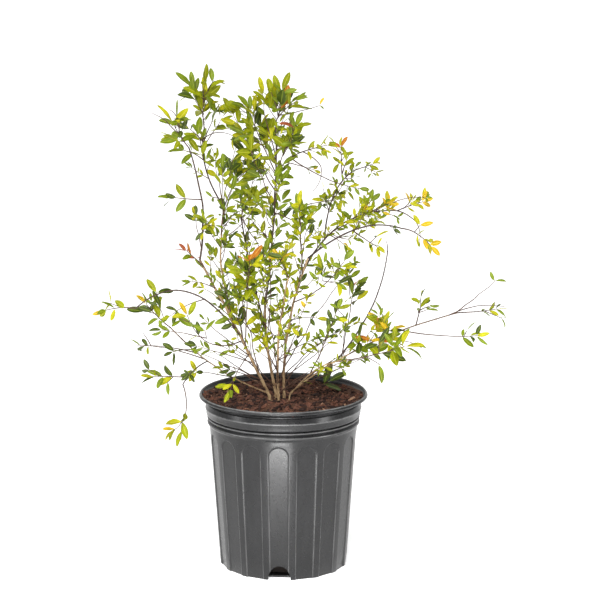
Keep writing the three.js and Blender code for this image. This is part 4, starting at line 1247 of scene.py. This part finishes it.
def build_soil():
    """The crumbly top of the mix, with a thin lip over the ledge and a skirt down inside the wall."""
    deselect()
    bpy.ops.mesh.primitive_circle_add(vertices=180, radius=SOIL_RADIUS * MM, fill_type="NGON",
                                      location=(0, 0, SOIL_HEIGHT * MM))
    soil = bpy.context.object
    fix_place(soil)
    edit(soil)
    for _ in range(int(SOIL_RADIUS / SOIL_STEP) - 1):
        bpy.ops.mesh.inset(thickness=SOIL_STEP * MM, depth=0)
    leave_edit()
    for vertex in soil.data.vertices:
        x, y = vertex.co.x / MM, vertex.co.y / MM
        share = math.hypot(x, y) / SOIL_RADIUS
        pull = between((1, soil_reach(x, y) / SOIL_RADIUS), share * share)
        x, y = x * pull, y * pull
        crumbs = 1.1 * noise.noise(Vector((x / 2.6, y / 2.6, 7))) * (1 - share ** 8)
        vertex.co = Vector((x, y, soil_level(x, y) + crumbs)) * MM
    for height, radius in SKIRT:
        draw_out_open_edges(soil)
        for vertex in soil.data.vertices:
            if vertex.select:
                from_axis = math.hypot(vertex.co.x, vertex.co.y)
                vertex.co.x *= radius * MM / from_axis
                vertex.co.y *= radius * MM / from_axis
                vertex.co.z = min(height * MM, vertex.co.z - 0.8 * MM)
    close_selected_edges()
    tidy_mesh(soil)
    settle(soil, "potting_mix", "potting_mix", composted_bark("moist_composted_bark", "#241511", "#63412f"),
           ["soil"], smooth=60)


def build_root_ball():
    """The mix below, which fills the pot. Its colours are painted shade, near black, so that it shows dark
    behind the drain notches.
    """
    ball = turned_profile(ROOT_BALL_PROFILE, 64)
    tidy_mesh(ball)
    # The near-black colours here are painted shade, for the inside of the pot behind the notches.
    settle(ball, "shade_dark_root_ball", "potting_mix", composted_bark("shade_dark_peat_and_roots", "#070504", "#1b120d"),
           ["soil"], smooth=40)


def chip_shapes(count=6, cuts=4):
    """A few bark chips, each hewn from a block by slanting cuts, as arrays."""
    shapes = []
    for number in range(count):
        deselect()
        bpy.ops.mesh.primitive_cube_add(size=1, location=(0, 0, 0))
        chip = bpy.context.object
        edit(chip)
        draw = sequence(900 + number)
        for _ in range(cuts):
            normal = Vector((draw() - 0.5, draw() - 0.5, (draw() - 0.5) * 0.7)).normalized()
            bpy.ops.mesh.select_all(action="SELECT")
            bpy.ops.mesh.bisect(plane_co=tuple(normal * between((0.3, 0.5), draw())), plane_no=tuple(normal),
                                use_fill=True, clear_outer=True)
        leave_edit()
        tidy_mesh(chip)
        vertices = np.array([v.co for v in chip.data.vertices])
        faces = [tuple(p.vertices) for p in chip.data.polygons]
        shapes.append((vertices, faces))
        bpy.data.objects.remove(chip)
    return shapes


def turning(axis, angle):
    """The matrix that turns points round axis 0, 1 or 2."""
    matrix = np.identity(3)
    first, second = (axis + 1) % 3, (axis + 2) % 3
    matrix[first, first] = matrix[second, second] = math.cos(angle)
    matrix[second, first] = math.sin(angle)
    matrix[first, second] = -math.sin(angle)
    return matrix


# name: material, its dark and light colour, seed, count, least and most length, and the chips that have
# a place of their own, as x, y and length
CHIPS = {
    "bark_chips_dark": ("wet_bark_chips", "#120907", "#3a221b", 11, 900, (2.5, 12), []),
    "bark_chips_brown": ("brown_bark_chips", "#331d16", "#734a3a", 12, 1000, (2.5, 11), []),
    "bark_chips_pale": ("dry_pale_bark_chips", "#654638", "#a47f66", 13, 130, (2, 7),
                        [(101, -16, 15), (60, -70, 8)]),
}


def scatter_chips(name, shapes):
    """Chips of one tone, strewn over the mix and bedded in it."""
    material, dark, light, seed, count, sizes, places = CHIPS[name]
    vertices, faces, total = [], [], 0
    draw = sequence(seed)
    for i in range(count):
        shape, outline = shapes[int(draw() * len(shapes)) % len(shapes)]
        if i < len(places):
            x, y, length = places[i]
        else:
            reach = math.sqrt(draw())
            angle = draw() * FULL_TURN
            x, y = math.cos(angle), math.sin(angle)
            reach *= soil_reach(x, y) - 2
            x, y = x * reach, y * reach
            length = sizes[0] * (sizes[1] / sizes[0]) ** (draw() ** 1.6)
        width, thickness = between((0.35, 0.7), draw()), between((0.16, 0.38), draw())
        body = length * np.array([1, width, thickness])
        heading, roll, pitch = draw() * FULL_TURN, (draw() - 0.5) * 1.1, (draw() - 0.5) * 1.1
        turn = turning(2, heading) @ turning(1, pitch) @ turning(0, roll)
        height = soil_level(x, y) + body[2] * 0.25 + 0.3
        moved = (shape * body) @ turn.T + np.array([x, y, height])
        vertices.append(moved)
        faces += [tuple(index + total for index in face) for face in outline]
        total += len(shape)
    chips = mesh_piece(np.vstack(vertices), faces)
    settle(chips, name, "potting_mix", composted_bark(material, dark, light), ["soil"], smooth=0)


# ------------------------------------------------------------------ limbs

def limb_path(name, number, ring_every=2.6):
    """The middle line of a limb, with its slight wandering, and its radii."""
    origin, _tip, _bow, thick = LIMBS[name]
    curve = limb_curves[name]
    count = max(12, int(curve.length / ring_every))
    points, radii = [], []
    if not isinstance(origin[0], str):
        # The foot flares where it goes down into the mix.
        for height, flare in ((0, FLARE * 1.12), (1.6, FLARE), (4, 1.12)):
            points.append(Vector((*origin, SOIL_HEIGHT - 2 + height)))
            radii.append(thick[0] * flare)
    for i in range(count + 1):
        share = i / count
        points.append(curve.at(share) + wander(number, share, curve.length, 1.6 + thick[0] * 0.3))
        radii.append(between(thick, share))
    return points, radii


def limb_piece(name, number, material, slot, sides=14, knuckle_every=17):
    """One limb, with its knuckles and its bark's lengthwise ridges, in its own mesh."""
    points, radii = limb_path(name, number)
    rings = []
    travelled = 0
    for i, radius in enumerate(radii):
        if i:
            travelled += (points[i] - points[i - 1]).length
        # A low knuckle marks where a pair of leaves has grown.
        knuckle = 1 + 0.16 * max(0, math.cos(travelled / knuckle_every * FULL_TURN + number)) ** 8
        ring = []
        for side in range(sides):
            turn = FULL_TURN * side / sides
            place = Vector((math.cos(turn) * 1.4, math.sin(turn) * 1.4, travelled / 26 + number * 5))
            ridge = noise.noise(place * 1.5) * 0.10 + noise.noise(place * 3.1) * 0.07
            ring.append(radius * (knuckle + ridge))
        rings.append(ring)
    tubes = Tubes()
    tubes.add(points, rings, sides)
    settle(tubes.piece(), name + "_bark", slot, material, [name], smooth=50)


# ------------------------------------------------------------------ twigs

def twig_sag(shoot):
    """How far the middle of a shoot strays from its curve."""
    draw = sequence(shoot["seed"] + TRAIT["sag"])
    return Vector((draw() - 0.5, draw() - 0.5, -0.25 + 0.5 * draw())) * shoot["curve"].length * 0.07


def point_on_twig(shoot, share):
    """The visible line of a shoot, as grown, with a slight arch and crooks between its ends."""
    curve = shoot["curve"]
    crook = 2.6 if "whip" in shoot["kind"] else 1.2
    crooks = wander(shoot["seed"] * 0.37, share, curve.length * 1.5, crook * min(curve.length / 60, 1.6))
    return curve.at(share) + twig_sag(shoot) * math.sin(math.pi * share) + crooks


# Radii at the start and the tip of each kind of shoot.
THICKNESS = {"stem": (1.0, 0.5), "twig": (0.72, 0.4), "spur": (0.52, 0.3), "whip": (0.95, 0.4),
             "thin whip": (0.72, 0.36)}


def build_twigs(sides=6, ring_every=4):
    groups = {"brown": Tubes(), "green": Tubes()}
    for shoots in all_shoots.values():
        for number, shoot in enumerate(shoots):
            steps = max(4, int(shoot["curve"].length / ring_every))
            points = [point_on_twig(shoot, i / steps) for i in range(steps + 1)]
            radii = [between(THICKNESS[shoot["kind"]], i / steps) for i in range(steps + 1)]
            radii[-1] *= 0.5
            # One spur in three is still green.
            kind = "green" if shoot["kind"] == "spur" and number % 3 == 1 else "brown"
            groups[kind].add(points, radii, sides)
    return groups


# ------------------------------------------------------------------ leaves

ROWS = np.array([0, 0.04, 0.11, 0.21, 0.34, 0.48, 0.62, 0.75, 0.86, 0.94, 1])
COLUMNS = np.array([-1, -0.52, 0, 0.52, 1])


def half_width(t):
    """A long oval blade, fullest just past its middle, with a short blunt tip."""
    return np.sin(math.pi * np.clip(t, 0, 1) ** 1.06) ** 0.6


def bent_line(length, curl):
    """Where the rows lie along a blade's middle line, which bends steadily towards the leaf's back."""
    place = Vector((0, 0, 0))
    places = [place]
    for t0, t1 in zip(ROWS, ROWS[1:]):
        heading = -curl * (t0 + t1) / 2
        place = place + Vector((math.cos(heading), 0, math.sin(heading))) * ((t1 - t0) * length)
        places.append(place)
    return places


class Leaves(Gathered):
    """Leaf blades, with a UV map that runs from edge to edge and along each of them."""

    def add(self, leaf):
        draw = sequence(leaf["shoot"]["seed"] + leaf["slot"] + TRAIT["blade"])
        length = leaf["length"]
        width = length * between((0.31, 0.41), draw()) / 2
        fold = between((0.05, 0.5), draw())
        curl = between((-0.15, 0.75), draw())
        twist = between((-0.5, 0.5), draw())
        wave = between((0, 0.05), draw())
        along, face = leaf["along"], leaf["face"]
        across = along.cross(face).normalized()
        root = leaf["root"]
        petiole = length * between((0.06, 0.12), draw())
        first = len(self.vertices)
        for t, middle in zip(ROWS, bent_line(length, curl)):
            reach = float(half_width(t)) * width
            if t in (0, 1):
                reach = width * 0.05
            turn = twist * t
            for s in COLUMNS:
                side = s * reach
                rise = abs(s) * reach * fold + wave * length * 0.3 * math.sin(t * 14 + s * 2) * abs(s)
                y = side * math.cos(turn) - rise * math.sin(turn)
                z = side * math.sin(turn) + rise * math.cos(turn)
                local = Vector((middle.x, y, middle.z + z))
                beyond = along * (local.x + petiole)
                self.vertices.append(root + beyond + across * local.y + face * local.z)
        columns = len(COLUMNS)
        for row in range(len(ROWS) - 1):
            for column in range(columns - 1):
                a = first + row * columns + column
                uvs = patch_uvs((COLUMNS[column] + 1) / 2, (COLUMNS[column + 1] + 1) / 2,
                                ROWS[row], ROWS[row + 1])
                self.add_face((a, a + 1, a + 1 + columns, a + columns), uvs)
        # The leaf stalk is a narrow strip from the twig to the blade.
        half = max(0.22, width * 0.07)
        first, end = len(self.vertices), root + along * petiole * 1.04
        self.vertices += [root - across * half, root + across * half,
                          end + across * half * 0.8, end - across * half * 0.8]
        self.add_face(range(first, first + 4), patch_uvs(0.49, 0.51, 0, 0.1))


# The tints a leaf may have, as blade and midrib colours and gloss. Young leaves are duller.
TINTS = {
    "deep": ("#3f4f0a", "#78852b", 0.5),
    "green": ("#6c7e0e", "#949c34", 0.4),
    "fresh": ("#868e0c", "#a9a936", 0.22),
    "lime": ("#a8a614", "#bfba46", 0.15),
    "gold": ("#c0a017", "#d6c458", 0.2),
    "orange": ("#a8651c", "#cf9f4a", 0.2),
    "red": ("#94482a", "#b8784c", 0.3),
}

# How the tints are dealt out in a spray: shares of each tint, for sprays of each kind.
DEALS = {
    "deep": {"deep": 0.8, "green": 0.2},
    "green": {"deep": 0.4, "green": 0.42, "fresh": 0.14, "lime": 0.04},
    "fresh": {"deep": 0.18, "green": 0.38, "fresh": 0.32, "lime": 0.12},
    "lime": {"green": 0.25, "fresh": 0.4, "lime": 0.3, "gold": 0.05},
    "gold": {"green": 0.15, "fresh": 0.3, "lime": 0.3, "gold": 0.25},
    "orange": {"fresh": 0.3, "orange": 0.7},
    "red": {"green": 0.25, "red": 0.6, "orange": 0.15},
    "mixed": {"deep": 0.15, "green": 0.3, "fresh": 0.2, "lime": 0.15, "gold": 0.14, "orange": 0.06},
}


def deal(kind, draw):
    """The tint that one leaf gets, in a spray of this kind."""
    pick = draw() * sum(DEALS[kind].values())
    for tint, share in DEALS[kind].items():
        pick -= share
        if pick <= 0:
            return tint
    return tint


def tint_of(leaf):
    """A leaf's tint. The leaves at a mass's tip take the tint of its tip more often."""
    owner = leaf["mass"]
    draw = sequence(leaf["shoot"]["seed"] + leaf["slot"] + TRAIT["tint"])
    if owner in MASSES:
        tint, tip_tint = MASSES[owner][8:]
        chance = (0.9, 0.4, 0.4)[leaf["slot"]] if leaf["slot"] <= 2 else 0
        is_young = leaf["shoot"]["kind"] == "stem" and draw() < chance
        return tip_tint if is_young else deal(tint, draw)
    for table in (WHIPS, SIDE_SHOOTS, LIMB_SPURS):
        if owner in table:
            return deal(table[owner][-1], draw)
    return deal("fresh", draw)


# ------------------------------------------------------------------ make it all

build_pot()
build_soil()
build_root_ball()
chip_forms = chip_shapes()
for chips_name in CHIPS:
    scatter_chips(chips_name, chip_forms)

tan_bark = bark("tan_young_bark", "#8c7050", "#c8ad84", "#4e3b2b", 1.1, 0.5, (0.3, 0.26, 0.24))
dark_bark = bark("dark_twig_bark", "#30231e", "#5b473a", "#1b120f", 0.9, 0.35)
for number, (limb_name, (origin, *_rest)) in enumerate(LIMBS.items()):
    is_tan = limb_name == "stem_tan" or not isinstance(origin[0], str)
    limb_piece(limb_name, number, tan_bark if is_tan else dark_bark, "bark_tan" if is_tan else "bark_dark")

mass_nodes = ["foliage_" + name for name in MASSES]
twig_skins = {
    "brown": ("bark_dark", bark("reddish_twig_bark", "#3c271c", "#6a4c3a", "#21130e", 0.8, 0.3)),
    "green": ("leaves", bark("green_shoot_skin", "#7c8a35", "#a5ab55", "#6b5a2b", 0.8, 0.2)),
}
for kind, tubes in build_twigs().items():
    slot, skin = twig_skins[kind]
    settle(tubes.piece(), "twigs_" + kind, slot, skin, mass_nodes, smooth=60)

by_tint = {tint: Leaves() for tint in TINTS}
for leaf in all_leaves:
    leaf["root"] = point_on_twig(leaf["shoot"], leaf["share"])
    by_tint[tint_of(leaf)].add(leaf)
for tint, leaves in by_tint.items():
    if leaves.vertices:
        settle(leaves.piece(), "leaves_" + tint, "leaves", leaf_blade("waxy_leaf_" + tint, *TINTS[tint]),
               mass_nodes, smooth=70)


# ------------------------------------------------------------------ floor and light

def plain_floor():
    deselect()
    bpy.ops.mesh.primitive_plane_add(size=60, location=(0, 12, 0))
    floor = bpy.context.object
    floor.name = "floor"
    material, tree = new_material("pale_floor")
    shader = add_node(tree, "ShaderNodeBsdfPrincipled", {"inputs": {
        "Base Color": hex_to_linear("#f4f4f4"), "Roughness": 0.9, "Emission Color": (1, 1, 1, 1),
        "Emission Strength": 0.5}})
    finish_material(tree, shader.outputs[0])
    floor.data.materials.append(material)


def soft_light(name, location, target, size, power):
    """A soft panel of light that faces its target and isn't seen itself."""
    bpy.ops.object.light_add(type="AREA", location=location)
    light = bpy.context.object
    light.name = name
    light.data.shape = "RECTANGLE"
    light.data.size, light.data.size_y = size
    light.data.energy = power
    direction = Vector(target) - Vector(location)
    light.rotation_euler = direction.to_track_quat("-Z", "Y").to_euler()
    light.visible_camera = False


def soft_sun(name, toward_light, strength, spread):
    bpy.ops.object.light_add(type="SUN", location=(0, 0, 3))
    light = bpy.context.object
    light.name = name
    light.data.energy = strength
    light.data.angle = math.radians(spread)
    light.rotation_euler = (-Vector(toward_light)).to_track_quat("-Z", "Y").to_euler()


def studio_world():
    """A white studio whose light is weaker from the front and from overhead, so that gloss shows."""
    world = bpy.data.worlds.new("studio")
    bpy.context.scene.world = world
    world.use_nodes = True
    tree = world.node_tree
    direction = add_node(tree, "ShaderNodeTexCoord").outputs["Generated"]
    parts = add_node(tree, "ShaderNodeSeparateXYZ", None, _0=direction)
    walls = add_node(tree, "ShaderNodeMapRange", {"inputs": {
        "From Min": -0.9, "From Max": 0.6, "To Min": 0.4, "To Max": 0.65}}, Value=parts.outputs[1])
    ceiling = add_node(tree, "ShaderNodeMapRange", {"inputs": {
        "From Min": 0.35, "From Max": 0.8, "To Min": 1, "To Max": 0.5}}, Value=parts.outputs[2])
    strength = add_node(tree, "ShaderNodeMath", {"operation": "MULTIPLY"}, _0=walls.outputs[0],
                        _1=ceiling.outputs[0])
    tree.links.new(strength.outputs[0], tree.nodes["Background"].inputs["Strength"])
    tree.nodes["Background"].inputs["Color"].default_value = (1, 1, 1, 1)


plain_floor()
studio_world()
soft_sun("high_soft_sun", (-0.4, -0.6, 0.9), 2.2, 50)
soft_light("front_softbox", (-0.08, -1.27, 1.21), (0, -0.12, 0.25), (1.1, 0.3), 15)
soft_light("left_strip", (-2.1, -0.75, 0.7), (0, 0, 0.2), (0.22, 1.3), 13)
soft_light("right_strip", (1.95, -1.05, 0.7), (0, 0, 0.2), (0.22, 1.3), 22)
soft_light("low_front_card", (-0.03, -0.5, 0.085), (-0.006, -0.11, 0.2), (0.2, 0.09), 2)
bpy.context.scene.view_settings.view_transform = "Standard"
